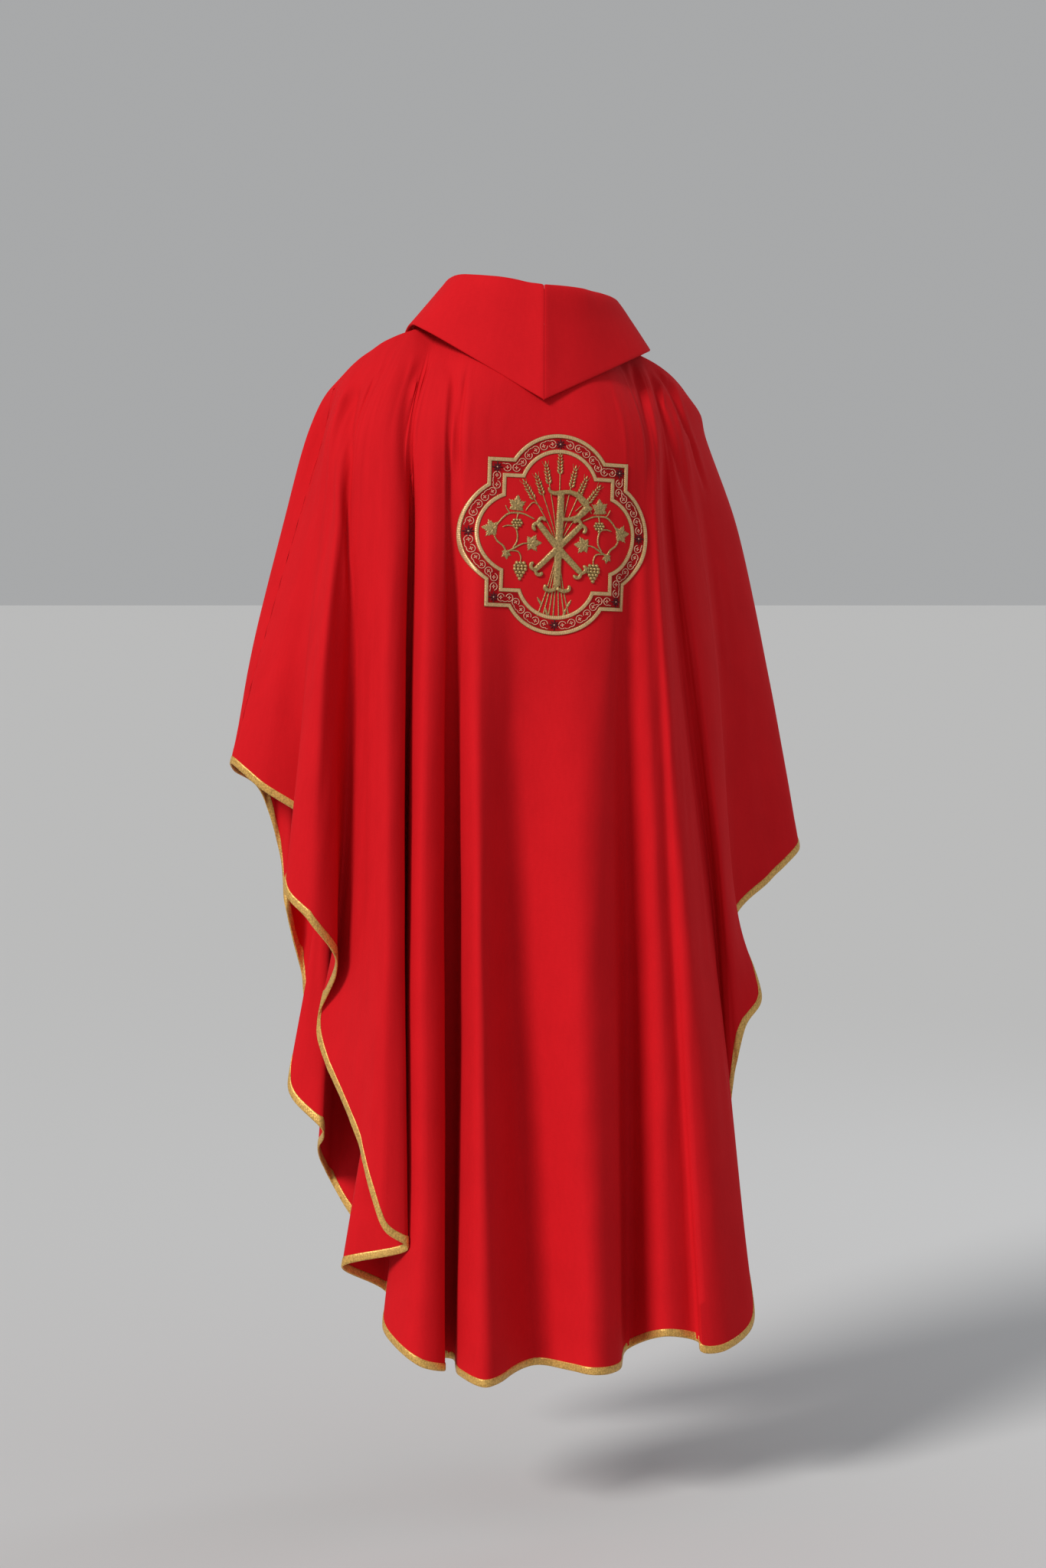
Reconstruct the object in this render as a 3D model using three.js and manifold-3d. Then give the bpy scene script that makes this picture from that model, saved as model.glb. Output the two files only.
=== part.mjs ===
// Chasuble: a liturgical over-garment worn over the shoulders, seen mostly from the back.
// The frame is in millimetres with +Z up. The origin is the middle of the neck opening at the
// level where the garment rests on the shoulders. The wearer faces -Y, and the wearer's left is +X.
//
// Each cloth panel is lofted over guide lines. A guide line is one fold crest, fold hollow or seam,
// followed from the shoulder or neckline down to the hem.
import * as THREE from 'three';
import Module from 'manifold-3d';

const wasm = await Module();
wasm.setup();
const { CrossSection, Manifold } = wasm;

// ---------------------------------------------------------------- driving dimensions
const GARMENT_WIDTH = 782;    // as draped, from one wing tip to the other
const GARMENT_LENGTH = 1411;  // from the collar's rim to the lowest point of the hem
const CLOTH = 1.2;            // thickness of the red cloth
const SEAM_GAP = 0.3;         // clearance that stands for a stitched seam
const SHOULDER_TRIM = 1.8;    // how far each panel stops short of the shoulder ridge line, in cloths
const BRAID_WIDTH = 11;       // gold braid that binds the hem
const BRAID_THICK = 1.2;
const BRAID_SEAM = 1.2;       // the cloth stops this far above the braid
const FACING_DEPTH = 38;      // neck facing inside the panels
const FACING_THICK = 0.8;
const FACING_REACH = 128;     // how far the facing runs out along the shoulders
const FACING_CLEARANCE = 0.4;
const FACING_INSET = 2;       // the facing starts this far below the panel's top edge
const COLUMN_STEP = 46;       // longest facet across a panel
const PANEL_ROWS = 9;
const ROUND_OVER = 9;         // how much the cloth arches where it leaves the shoulder

const SHOULDER_X = 105.5;     // the shoulder ridge starts this far out from the neck's axis
const NECK_AXIS_Y = 5;
const NECK_SEAM_RISE = 0.9;   // the collar's own edge lies on top of the panels' edges
const RIM_RADIUS = 7;         // half width of the roll at the collar's rim
const INTERFACING = 0.5;      // stiffener between the two collar layers
const LAYER_GAP = 0.3;        // between the collar's layers
const SLIVER = 0.05;          // thinner leftovers of a cut are cleaned away
const COLLAR_SEAM_GAP = 0.6;  // at the centre back and centre front seams

const EMBLEM_Z = -258;        // height of the emblem's centre
const EMBLEM_SIZE = 250;      // emblem width
const EMBLEM_LIFT = 0.6;      // clearance between the cloth and the embroidery
const EMBLEM_TILT = -2.3;     // degrees, from the way the cloth hangs
const GROUND_THICK = 0.6;
const THREAD_THICK = 0.9;     // flat satin stitch
const PAD_THICK = 3.2;        // padded monogram
const STITCH_GAP = 0.55;      // between two layers of embroidery
const BACKING_THICK = 0.5;
const BORDER_WIDTH = 5.2;     // each gold outline
const BAND_WIDTH = 13;        // scroll band between the outlines

// ---------------------------------------------------------------- guide lines
// The guide lines are given for a garment 782 wide and 1411 long, and stretched to size.
const WIDE = GARMENT_WIDTH / 782;
const LONG = GARMENT_LENGTH / 1411;

// Levels at which a guide line gives its [x, y], from the nape down to the calf.
const LEVELS = [-130, -245, -435, -785, -1100];

// name, point at the top, [x, y] at the levels it passes, and its point on the hem
const BACK_GUIDES = [
  ['seam_left', [245, 5, -74], [[257, 1], [291, -5], [342, -33]], [369, -60, -555]],
  ['wing_left', [228, 8, -50], [[262, 32], [284, 30], [323, 11]], [337, -22, -586]],
  ['tuck_left', [212, 12, -34], [[260, 56], [274, 56], [293, 42]], [271, 5, -640]],
  ['edge_left', [198, 15, -24], [[250, 70], [265, 78], [294, 84]], [322, 62, -710]],
  ['ridge_left', [184, 17, -14], [[245, 80], [260, 96], [283, 110]], [297, 96, -749]],
  ['flank_left', [170, 18, -7], [[237, 92], [248, 96], [261, 96]], [258, 78, -803]],
  ['hollow_1', [158, 18, -2], [[231, 100], [239, 98], [238, 80], [250, 35]], [272, 15, -896]],
  ['slope_1', [146, 18, 2], [[217, 116], [222, 120], [225, 120], [229, 108]], [239, 95, -1019]],
  ['ridge_1', [134, 18, 6], [[196, 128], [200, 142], [206, 150], [209, 154]], [215, 148, -1133]],
  ['lip_1', [122, 18, 9], [[175, 130], [180, 138], [184, 140], [185, 142]], [181, 142, -1161]],
  ['tuck_1', [114, 20, 11], [[170, 126], [172, 120], [177, 108], [190, 95]], [252, 80, -1193]],
  ['hollow_2', [110, 22, 12], [[167, 128], [166, 120], [165, 100], [164, 66]], [186, 42, -1239]],
  ['edge_2', [106, 25, 13], [[165, 134], [168, 138], [172, 132], [177, 118], [184, 100]],
    [203, 96, -1274]],
  ['ridge_2', [102, 32, 14], [[148, 148], [155, 158], [163, 164], [168, 164], [166, 162]],
    [174, 163, -1306]],
  ['lip_2', [96, 44, 13], [[134, 152], [135, 158], [137, 156], [137, 150]], [136, 152, -1318]],
  ['hollow_3', [88, 57, 12], [[127, 157], [127, 154], [129, 130], [126, 90]], [130, 78, -1319]],
  ['base_3', [80, 67, 12], [[121, 159], [119, 157], [117, 132], [110, 92]], [111, 80, -1320]],
  ['edge_3', [72, 74, 11], [[115, 161], [112, 163], [114, 158], [110, 150]], [117, 150, -1325]],
  ['ridge_3', [55, 85, 10], [[99, 165], [98, 171], [103, 184], [101, 193]], [95, 197, -1331]],
  ['hollow_4', [18, 97, 8], [[49, 167], [51, 175], [48, 166], [44, 142]], [9, 125, -1324]],
  ['ridge_4', [-40, 90, 4], [[-52, 164], [-53, 174], [-43, 180], [-35, 190]], [-50, 190, -1326]],
  ['lip_4', [-66, 76, 1], [[-89, 154], [-84, 164], [-76, 170], [-76, 168]], [-89, 168, -1328]],
  ['hollow_5', [-84, 60, -1], [[-106, 147], [-106, 155], [-100, 146], [-114, 116]], [-124, 92, -1319]],
  ['ridge_5', [-98, 40, -3], [[-127, 134], [-125, 147], [-129, 156], [-143, 155]], [-157, 148, -1292]],
  ['dip_6', [-106, 25, -5], [[-136, 128], [-137, 142], [-148, 148], [-168, 146]], [-205, 140, -1304]],
  ['edge_6', [-118, 20, -9], [[-141, 126], [-144, 140], [-154, 150], [-174, 154]], [-204, 158, -1313]],
  ['ridge_6', [-132, 18, -13], [[-146, 122], [-153, 132], [-164, 142], [-187, 152]], [-239, 150, -1315]],
  ['lip_6', [-148, 16, -19], [[-154, 114], [-162, 116], [-182, 118], [-225, 112]], [-297, 95, -1288]],
  ['hollow_6', [-162, 14, -24], [[-164, 100], [-175, 94], [-199, 86], [-252, 62]], [-276, 45, -1111]],
  ['ridge_7', [-178, 12, -31], [[-175, 92], [-189, 96], [-222, 92], [-269, 78]], [-293, 62, -910]],
  ['lip_7', [-194, 10, -40], [[-192, 80], [-217, 74], [-249, 68], [-291, 52]], [-324, 45, -869]],
  ['hollow_7', [-210, 8, -52], [[-210, 62], [-237, 50], [-265, 38]], [-296, 8, -773]],
  ['wing_right', [-226, 6, -70], [[-231, 38], [-266, 28], [-306, 12]], [-359, -25, -721]],
  ['brow_right', [-238, 2, -92], [[-257, 0], [-304, -12], [-355, -32]], [-411, -55, -683]],
];
const FRONT_GUIDES = [
  ['seam_right', [-240, -10, -98], [[-262, -24], [-307, -40], [-357, -60]], [-413, -74, -675]],
  ['front_wing_right', [-222, 4, -66], [[-252, -58], [-292, -84], [-338, -112]], [-380, -128, -700]],
  ['front_tuck_right', [-200, 9, -44], [[-232, -84], [-264, -108], [-300, -130]], [-330, -135, -770]],
  ['front_edge_right', [-176, 12, -30], [[-208, -100], [-236, -122], [-262, -132]], [-300, -100, -840]],
  ['front_hollow_8', [-156, 14, -21], [[-190, -110], [-216, -128], [-234, -132], [-244, -108]],
    [-250, -96, -920]],
  ['front_lip_8', [-146, 16, -18], [[-176, -116], [-202, -132], [-222, -128], [-246, -80]],
    [-278, -66, -1020]],
  ['front_curl_8', [-136, 17, -15], [[-166, -120], [-190, -136], [-206, -126], [-226, -75]],
    [-248, -45, -1070]],
  ['front_return_8', [-128, 18, -12], [[-156, -124], [-180, -140], [-196, -140], [-215, -110]],
    [-240, -85, -1105]],
  ['front_ridge_7', [-118, 20, -9], [[-140, -130], [-162, -150], [-178, -165], [-196, -172]],
    [-214, -160, -1160]],
  ['front_hollow_7', [-108, 22, -6], [[-128, -132], [-146, -152], [-156, -152], [-162, -140]],
    [-176, -128, -1205]],
  ['front_ridge_6', [-102, 2, -3], [[-108, -136], [-120, -162], [-126, -180], [-132, -196]],
    [-136, -206, -1250]],
  ['front_hollow_6', [-90, -32, -9], [[-90, -138], [-94, -162], [-94, -166], [-92, -155]],
    [-92, -142, -1268]],
  ['front_ridge_5', [-68, -62, -18], [[-66, -142], [-66, -168], [-64, -188], [-60, -206]],
    [-56, -214, -1288]],
  ['front_middle', [0, -92, -34], [[0, -142], [0, -165], [0, -172], [0, -170]], [0, -165, -1290]],
  ['front_ridge_4', [68, -62, -14], [[66, -140], [68, -166], [66, -186], [62, -205]],
    [60, -212, -1285]],
  ['front_hollow_4', [90, -32, -2], [[90, -136], [96, -160], [95, -165], [95, -152]],
    [96, -140, -1262]],
  ['front_ridge_3', [102, 2, 8], [[110, -134], [122, -160], [128, -178], [135, -195]],
    [142, -205, -1245]],
  ['front_hollow_3', [108, 22, 12], [[128, -130], [146, -150], [156, -150], [165, -135]],
    [185, -120, -1190]],
  ['front_ridge_2', [118, 19, 10], [[142, -128], [166, -148], [180, -162], [200, -160]],
    [222, -146, -1122]],
  ['front_return_1', [128, 18, 8], [[156, -122], [182, -138], [196, -135], [222, -100]],
    [255, -62, -1065]],
  ['front_curl_1', [138, 18, 5], [[168, -118], [196, -134], [210, -120], [238, -60]],
    [257, -20, -1035]],
  ['front_lip_1', [148, 18, 1], [[180, -114], [208, -130], [226, -126], [258, -66]],
    [293, -62, -985]],
  ['front_slope_1', [154, 18, -1], [[188, -111], [215, -128], [232, -128], [253, -86]],
    [268, -84, -915]],
  ['front_hollow_1', [160, 18, -3], [[195, -108], [222, -124], [236, -128]], [266, -108, -846]],
  ['front_edge_left', [180, 17, -12], [[215, -98], [240, -118], [262, -130]], [290, -95, -752]],
  ['front_tuck_left', [205, 12, -30], [[238, -78], [268, -100], [296, -125]], [290, -125, -690]],
  ['front_wing_left', [225, 7, -48], [[260, -45], [292, -66], [328, -98]], [322, -118, -592]],
  ['front_brow_left', [238, 4, -64], [[274, -14], [303, -30], [345, -60]], [361, -82, -566]],
];

// Where the two panels reach the shoulder ridge line rather than the neckline.
const isNeck = (top) => Math.abs(top[0]) < SHOULDER_X;

const vec = ([x, y, z]) => new THREE.Vector3(WIDE * x, y, LONG * z);

function guideCurve([name, top, passes, hem]) {
  const side = name.startsWith('front') || name === 'seam_right' ? -1 : 1;
  const points = passes.map(([x, y], i) => vec([x, y, LEVELS[i]]));
  const bulge = new THREE.Vector3(0, 0.8 * side * ROUND_OVER, ROUND_OVER);
  const arch = vec(top).lerp(points[0], 0.42).add(bulge);
  const line = [vec(top), arch, ...points, vec(hem)];
  return new THREE.CatmullRomCurve3(line, false, 'centripetal');
}

const ring = [...BACK_GUIDES, ...FRONT_GUIDES];
const curves = ring.map(guideCurve);
const lengths = curves.map((curve) => curve.getLength());
const onRing = (i) => (i + ring.length) % ring.length;

// Point of the whole garment: u counts guide lines round the ring, v runs from shoulder to hem.
function drape(u, v) {
  const i = Math.floor(u);
  const near = [i - 1, i, i + 1, i + 2].map((k) => curves[onRing(k)].getPointAt(v));
  return new THREE.CatmullRomCurve3(near, false, 'centripetal').getPoint((1 + u - i) / 3);
}

// Outward direction of the cloth.
function facing(u, v) {
  const [du, dv] = [0.05, 0.01];
  const along = drape(u + du, v).sub(drape(u - du, v));
  const down = drape(u, Math.min(v + dv, 1)).sub(drape(u, Math.max(v - dv, 0)));
  return new THREE.Vector3().crossVectors(down, along).normalize();
}

function guideLength(u) {
  const i = Math.floor(u);
  return THREE.MathUtils.lerp(lengths[onRing(i)], lengths[onRing(i + 1)], u - i);
}

// The v that lies a set distance inside the hem, measured square to the hem.
function vAboveHem(u, distance) {
  const step = 0.02;
  const along = drape(u + step, 1).sub(drape(u - step, 1)).normalize();
  const down = drape(u, 1).sub(drape(u, 1 - step)).normalize();
  const slant = Math.max(0.3, new THREE.Vector3().crossVectors(along, down).length());
  return 1 - distance / (slant * guideLength(u));
}

// ---------------------------------------------------------------- sheets
// Normals of a grid of points, from its neighbours.
function gridNormals(grid, sign) {
  const [rows, cols] = [grid.length, grid[0].length];
  return grid.map((line, r) => line.map((_, c) => {
    const across = new THREE.Vector3().subVectors(
      line[Math.min(c + 1, cols - 1)], line[Math.max(c - 1, 0)]);
    const down = new THREE.Vector3().subVectors(
      grid[Math.min(r + 1, rows - 1)][c], grid[Math.max(r - 1, 0)][c]);
    return new THREE.Vector3().crossVectors(down, across).normalize().multiplyScalar(sign);
  }));
}

// A closed sheet from a grid of points. Each face lies at its own distance along the normal.
function sheet(grid, normals, outerAt, innerAt, flip = false) {
  const rows = grid.length;
  const cols = grid[0].length;
  const positions = [];
  for (const distance of [outerAt, innerAt]) {
    grid.forEach((line, r) => line.forEach((point, c) => {
      positions.push(...point.clone().addScaledVector(normals[r][c], distance).toArray());
    }));
  }
  const count = rows * cols;
  const index = [];
  const quad = (a, b, c, d) => {
    if (flip) index.push(a, c, b, a, d, c);
    else index.push(a, b, c, a, c, d);
  };
  for (let r = 0; r < rows - 1; r += 1) {
    for (let c = 0; c < cols - 1; c += 1) {
      const a = r * cols + c;
      quad(a, a + cols, a + cols + 1, a + 1);
      quad(count + a, count + a + 1, count + a + cols + 1, count + a + cols);
    }
  }
  const rim = [];
  for (let c = 0; c < cols - 1; c += 1) rim.push(c);
  for (let r = 0; r < rows - 1; r += 1) rim.push(r * cols + cols - 1);
  for (let c = cols - 1; c > 0; c -= 1) rim.push((rows - 1) * cols + c);
  for (let r = rows - 1; r > 0; r -= 1) rim.push(r * cols);
  rim.forEach((a, i) => {
    const b = rim[(i + 1) % rim.length];
    quad(a, b, count + b, count + a);
  });
  const geometry = new THREE.BufferGeometry();
  geometry.setAttribute('position', new THREE.Float32BufferAttribute(positions, 3));
  geometry.setIndex(index);
  geometry.computeVertexNormals();
  return geometry;
}

// Places across a panel, from its first guide line to its last, no facet wider than COLUMN_STEP.
function columns(first, last) {
  const places = [];
  for (let i = first; i < last; i += 1) {
    const widths = [0.1, 0.5, 1].map((v) => drape(i, v).distanceTo(drape(i + 1, v)));
    const parts = Math.max(1, Math.ceil(Math.max(...widths) / COLUMN_STEP));
    for (let k = 0; k < parts; k += 1) places.push(i + k / parts);
  }
  places.push(last);
  const inset = (at, next) => SEAM_GAP / 2 / drape(at, 0.6).distanceTo(drape(next, 0.6));
  places[0] += inset(first, first + 1);
  places[places.length - 1] -= inset(last - 1, last);
  return places;
}

// Calls at(u, v) along the given rows. Each row is a function that gives v at u.
const overRows = (places, rows, at) => rows.map((row) => places.map((u) => at(u, row(u))));

function drapedSheet(places, rows, outerAt, innerAt) {
  return sheet(overRows(places, rows, drape), overRows(places, rows, facing), outerAt, innerAt);
}

const trimAtTop = (u) => {
  const top = ring[onRing(Math.round(u))][1];
  return (isNeck(top) ? SEAM_GAP : SHOULDER_TRIM * CLOTH * LONG) / guideLength(u);
};

const seamRight = BACK_GUIDES.length;
const PANELS = {
  back: columns(0, seamRight),
  front: columns(seamRight, ring.length),
};

// Rows of a panel: its top edge, the lower edge of the facing, then evenly down to the braid.
const facingRow = (u) => FACING_DEPTH / guideLength(u);
const clothEnd = (u) => vAboveHem(u, BRAID_WIDTH + BRAID_SEAM);
const panelRows = [trimAtTop, ...Array.from({ length: PANEL_ROWS }, (_, r) => (
  (u) => THREE.MathUtils.lerp(facingRow(u), clothEnd(u), r / (PANEL_ROWS - 1))))];

function hemBraid(name) {
  const over = (BRAID_THICK - CLOTH) / 2;
  const rows = [(u) => vAboveHem(u, BRAID_WIDTH), () => 1];
  return drapedSheet(PANELS[name], rows, over, -CLOTH - over);
}

function neckFacing(name) {
  const places = PANELS[name].filter((u) => Math.abs(drape(u, 0).x) < FACING_REACH * WIDE);
  const outerAt = -CLOTH - FACING_CLEARANCE;
  const top = (u) => trimAtTop(u) + FACING_INSET / guideLength(u);
  return drapedSheet(places, [top, facingRow], outerAt, outerAt - FACING_THICK);
}

// ---------------------------------------------------------------- collar
// Stations from the centre back to the centre front: neckline, rim and lower edge.
const COLLAR_LEFT = [
  [[0, 97, 8], [0, 128, 60], [5, 167, -94]],
  [[55, 85, 11], [57, 106, 71], [84, 128, -36]],
  [[84, 62, 13], [96, 64, 80], [154, 72, 6]],
  [[104, 20, 14], [104, 12, 72], [164, 14, 8]],
  [[90, -32, -1], [90, -45, 50], [142, -64, -26]],
  [[50, -74, -23], [52, -88, 14], [82, -132, -76]],
  [[0, -92, -33], [0, -106, -6], [0, -162, -128]],
];
const COLLAR_RIGHT = [
  [[0, 97, 8], [0, 128, 60], [5, 167, -94]],
  [[-55, 84, 4], [-62, 104, 54], [-72, 134, -58]],
  [[-84, 60, 0], [-120, 62, 46], [-157, 70, -24]],
  [[-104, 20, -3], [-126, 12, 40], [-166, 14, -22]],
  [[-90, -32, -8], [-104, -45, 26], [-142, -64, -46]],
  [[-50, -74, -25], [-58, -88, 6], [-82, -132, -88]],
  [[0, -92, -33], [0, -106, -6], [0, -162, -128]],
];
// The lower edges are given for layers this thick in all, and rise as the layers thicken.
const COLLAR_LAYERS_THICK = 3.5;
const COLLAR_COLUMNS = 12;
const COLLAR_FALL_ROWS = 3;

// One line from the neckline up the inside, over the rim and down the fall.
function collarProfile([neck, rim, edge]) {
  const n = vec(neck).add(new THREE.Vector3(0, 0, SEAM_GAP));
  const r = vec(rim);
  const e = vec(edge);
  e.z += 2 * (2 * CLOTH + INTERFACING + 2 * LAYER_GAP - COLLAR_LAYERS_THICK);
  const out = new THREE.Vector3(e.x - n.x, e.y - n.y, 0).normalize();
  const inner = r.clone().addScaledVector(out, -RIM_RADIUS);
  inner.z -= 1.2 * RIM_RADIUS;
  const outer = r.clone().addScaledVector(out, RIM_RADIUS);
  outer.z -= RIM_RADIUS;
  const fall = Array.from({ length: COLLAR_FALL_ROWS }, (_, i) => (
    outer.clone().lerp(e, (i + 1) / COLLAR_FALL_ROWS)));
  return [n, n.clone().lerp(inner, 0.5), inner, r, outer, ...fall];
}

// The panels' top edges round the neck, facet by facet.
const neckEdge = Object.values(PANELS).flat().map((u) => drape(u, 0))
  .filter((p) => Math.abs(p.x) < WIDE * (SHOULDER_X + 20));

// Point of the neckline on the same bearing from the neck's axis.
function onNeckline(p) {
  const bearing = Math.atan2(p.x, p.y - NECK_AXIS_Y);
  const turn = (q) => {
    const angle = Math.atan2(q.x, q.y - NECK_AXIS_Y) - bearing;
    return Math.atan2(Math.sin(angle), Math.cos(angle));
  };
  const sorted = [...neckEdge].sort((a, b) => turn(a) - turn(b));
  const after = sorted.findIndex((q) => turn(q) > 0);
  const [a, b] = [sorted[after - 1], sorted[after]];
  return a.clone().lerp(b, turn(a) / (turn(a) - turn(b)));
}

function collarGrid(stations, mirror) {
  const profiles = stations.map(collarProfile);
  const rise = new THREE.Vector3(0, 0, NECK_SEAM_RISE);
  return profiles[0].map((_, row) => {
    const line = new THREE.CatmullRomCurve3(profiles.map((p) => p[row]), false, 'centripetal');
    const inset = COLLAR_SEAM_GAP / 2 / line.getLength();
    const points = Array.from({ length: COLLAR_COLUMNS + 1 }, (_, c) => (
      line.getPoint(THREE.MathUtils.clamp(c / COLLAR_COLUMNS, inset, 1 - inset)).add(
        new THREE.Vector3(mirror * COLLAR_SEAM_GAP, 0, 0))));
    return row ? points : points.map((p) => onNeckline(p).add(rise));
  });
}

function collarLayer(stations, mirror, outerAt, thick) {
  const grid = collarGrid(stations, mirror);
  return sheet(grid, gridNormals(grid, -mirror), outerAt, outerAt - thick, mirror > 0);
}

// ---------------------------------------------------------------- embroidery outlines
const polygon = (points) => new CrossSection([points]);
const disc = (x, y, radius, sides = 14) => CrossSection.circle(radius, sides).translate([x, y]);

// A stroke of even or tapering width through a few points.
function stroke(points, width, endWidth = width) {
  const curve = new THREE.CatmullRomCurve3(
    points.map(([x, y]) => new THREE.Vector3(x, y, 0)), false, 'centripetal');
  const steps = Math.max(2, Math.ceil(curve.getLength() / 7));
  const left = [];
  const right = [];
  for (let i = 0; i <= steps; i += 1) {
    const p = curve.getPoint(i / steps);
    const t = curve.getTangent(i / steps);
    const half = THREE.MathUtils.lerp(width, endWidth, i / steps) / 2;
    left.push([p.x - t.y * half, p.y + t.x * half]);
    right.unshift([p.x + t.y * half, p.y - t.x * half]);
  }
  return new CrossSection([[...left, ...right]], 'Positive').add(
    new CrossSection([[...right, ...left].reverse()], 'Positive'));
}

const join = (shapes) => CrossSection.union(shapes);
const mirrored = (shape) => shape.mirror([1, 0]);

// Barbed quatrefoil: four round lobes over a square whose corners stand proud.
function quatrefoil(inset) {
  const half = EMBLEM_SIZE / 2;
  const reach = half * 0.43;
  const lobe = half * 0.575 - inset;
  const corner = half * 0.745 - inset;
  const lobes = [[reach, 0], [-reach, 0], [0, reach], [0, -reach]]
    .map(([x, y]) => disc(x, y, lobe, 28));
  return join([...lobes, CrossSection.square([2 * corner, 2 * corner], true)]);
}

const outline = (from, to) => quatrefoil(from).subtract(quatrefoil(to));

function leaf(x, y, size, turn) {
  const points = [];
  const tips = 5;
  for (let i = 0; i < tips; i += 1) {
    const angle = (i - (tips - 1) / 2) * 0.92;
    const long = size * (1 - 0.11 * Math.abs(i - 2));
    points.push([long * Math.sin(angle), long * Math.cos(angle)]);
    if (i < tips - 1) {
      const notch = angle + 0.46;
      points.push([0.5 * size * Math.sin(notch), 0.5 * size * Math.cos(notch)]);
    }
  }
  points.push([-0.14 * size, -0.28 * size], [0.14 * size, -0.28 * size]);
  return polygon(points.reverse().map(([a, b]) => [a, b])).rotate(turn).translate([x, y]);
}

function wheatEar(x, y, turn) {
  const right = [];
  for (let i = 0; i < 5; i += 1) right.push([4.2, 4.6 * i + 3.4], [1.8, 4.6 * i + 4.6]);
  const left = right.map(([a, b]) => [-a, b]).reverse();
  return polygon([[0, -1], ...right, [0, 28], ...left]).rotate(turn).translate([x, y]);
}

function grapeCluster(x, y) {
  const rows = [4, 3, 2, 1];
  const step = 4.1;
  return join(rows.flatMap((n, r) => Array.from({ length: n }, (_, i) => (
    disc(x + (i - (n - 1) / 2) * step, y - 0.86 * step * r, 2.35, 6)))));
}

function starFlower(x, y, turn) {
  const points = [];
  for (let i = 0; i < 16; i += 1) {
    const long = i % 2 ? 2.0 : (i % 4 ? 4.2 : 6.0);
    const angle = (i * Math.PI) / 8 + turn;
    points.push([x + long * Math.cos(angle), y + long * Math.sin(angle)]);
  }
  return polygon(points);
}

// The monogram: a tall staff with a bowl, crossed by two curled strokes.
function monogram() {
  const staff = stroke([[0, 56], [0, -66]], 9.5);
  const head = stroke([[-12, 56], [8, 58]], 6);
  const bowl = stroke([[0, 56], [22, 55], [37, 42], [26, 28], [0, 22]], 8);
  const foot = stroke([[-15, -64], [-8, -69], [8, -69], [15, -64]], 6);
  const arm = stroke([[-25, 14], [0, -17], [28, -49]], 9);
  const otherArm = stroke([[27, 12], [0, -17], [-27, -48]], 9);
  const curls = [[-31, 11, -22, 19], [23, 17, 33, 9], [33, -46, 24, -54], [-33, -45, -23, -53]]
    .map(([a, b, c, d]) => stroke([[a, b], [c, d]], 7));
  return join([staff, head, bowl, foot, arm, otherArm, ...curls]);
}

// Foot of each ear of wheat, with the way it leans.
const WHEAT = [[0, 69, 0], [-14, 61, 14], [-24, 47, 24], [-37, 43, 34], [15, 59, -14],
  [28, 51, -26], [40, 41, -36]];

function wheatSheaf() {
  const knot = [0, -17];
  const ears = WHEAT.flatMap(([x, y, turn]) => [
    wheatEar(x, y, turn), stroke([knot, [0.35 * x, 0.4 * y - 8], [x, y + 3]], 1.6)]);
  const feet = [-26, -13, 0, 13, 26].map((x) => stroke([knot, [0.5 * x, -62], [x, -92]], 1.8));
  const blades = [[-22, -79, 24], [22, -79, -24]].map(([x, y, turn]) => (
    CrossSection.circle(1, 8).scale([1.8, 8]).rotate(turn).translate([x, y])));
  return join([...ears, ...feet, ...blades, disc(...knot, 3)]);
}

// One side's vine: a winding stem with three leaves and two short grape stalks.
function vine() {
  const stem = stroke(
    [[-32, -14], [-50, -30], [-66, -22], [-60, -4], [-42, 2], [-50, 24], [-54, 34]], 2.2);
  const branch = stroke([[-64, -8], [-74, 0], [-82, 6]], 1.8);
  const stalks = [stroke([[-48, 18], [-54, 16]], 1.8), stroke([[-52, -30], [-47, -41]], 1.6)];
  const leaves = [leaf(-54, 35, 10, 25), leaf(-84, 6, 11, 80), leaf(-34, -12, 10, -50)];
  return join([stem, branch, ...stalks, ...leaves]);
}

// ---------------------------------------------------------------- embroidery on the cloth
function solidOf(geometry) {
  const mesh = new wasm.Mesh({
    numProp: 3,
    vertProperties: new Float32Array(geometry.attributes.position.array),
    triVerts: new Uint32Array(geometry.index.array),
  });
  mesh.merge();
  return new Manifold(mesh);
}

function geometryOf(solid) {
  const mesh = solid.getMesh();
  const geometry = new THREE.BufferGeometry();
  geometry.setAttribute('position', new THREE.Float32BufferAttribute(mesh.vertProperties, 3));
  geometry.setIndex([...mesh.triVerts]);
  geometry.computeVertexNormals();
  return geometry;
}

const largest = (solid) => solid.decompose().reduce((a, b) => (b.volume() > a.volume() ? b : a));
const cutBy = (geometry, tools) => {
  const cut = Manifold.difference([solidOf(geometry), ...tools.map(solidOf)]);
  return geometryOf(largest(cut.simplify(SLIVER)));
};

// The part of the back panel that carries the embroidery.
const emblemPlaces = PANELS.back.filter((u) => Math.abs(drape(u, 0.25).x) < 0.8 * EMBLEM_SIZE);
const emblemRows = panelRows.slice(0, Math.ceil(0.55 * PANEL_ROWS));

// Cuts a flat shape out of a layer that follows the cloth. The shape is drawn as seen from
// behind the wearer, so its right is -X.
function stitched(shape, from, thick) {
  const layer = solidOf(drapedSheet(emblemPlaces, emblemRows, from + thick, from));
  const prism = Manifold.extrude(shape.simplify(0.05).rotate(EMBLEM_TILT), EMBLEM_SIZE)
    .rotate([90, 0, 180]).translate([0, 0, EMBLEM_Z]);
  return geometryOf(largest(Manifold.intersection([layer, prism])));
}

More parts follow.
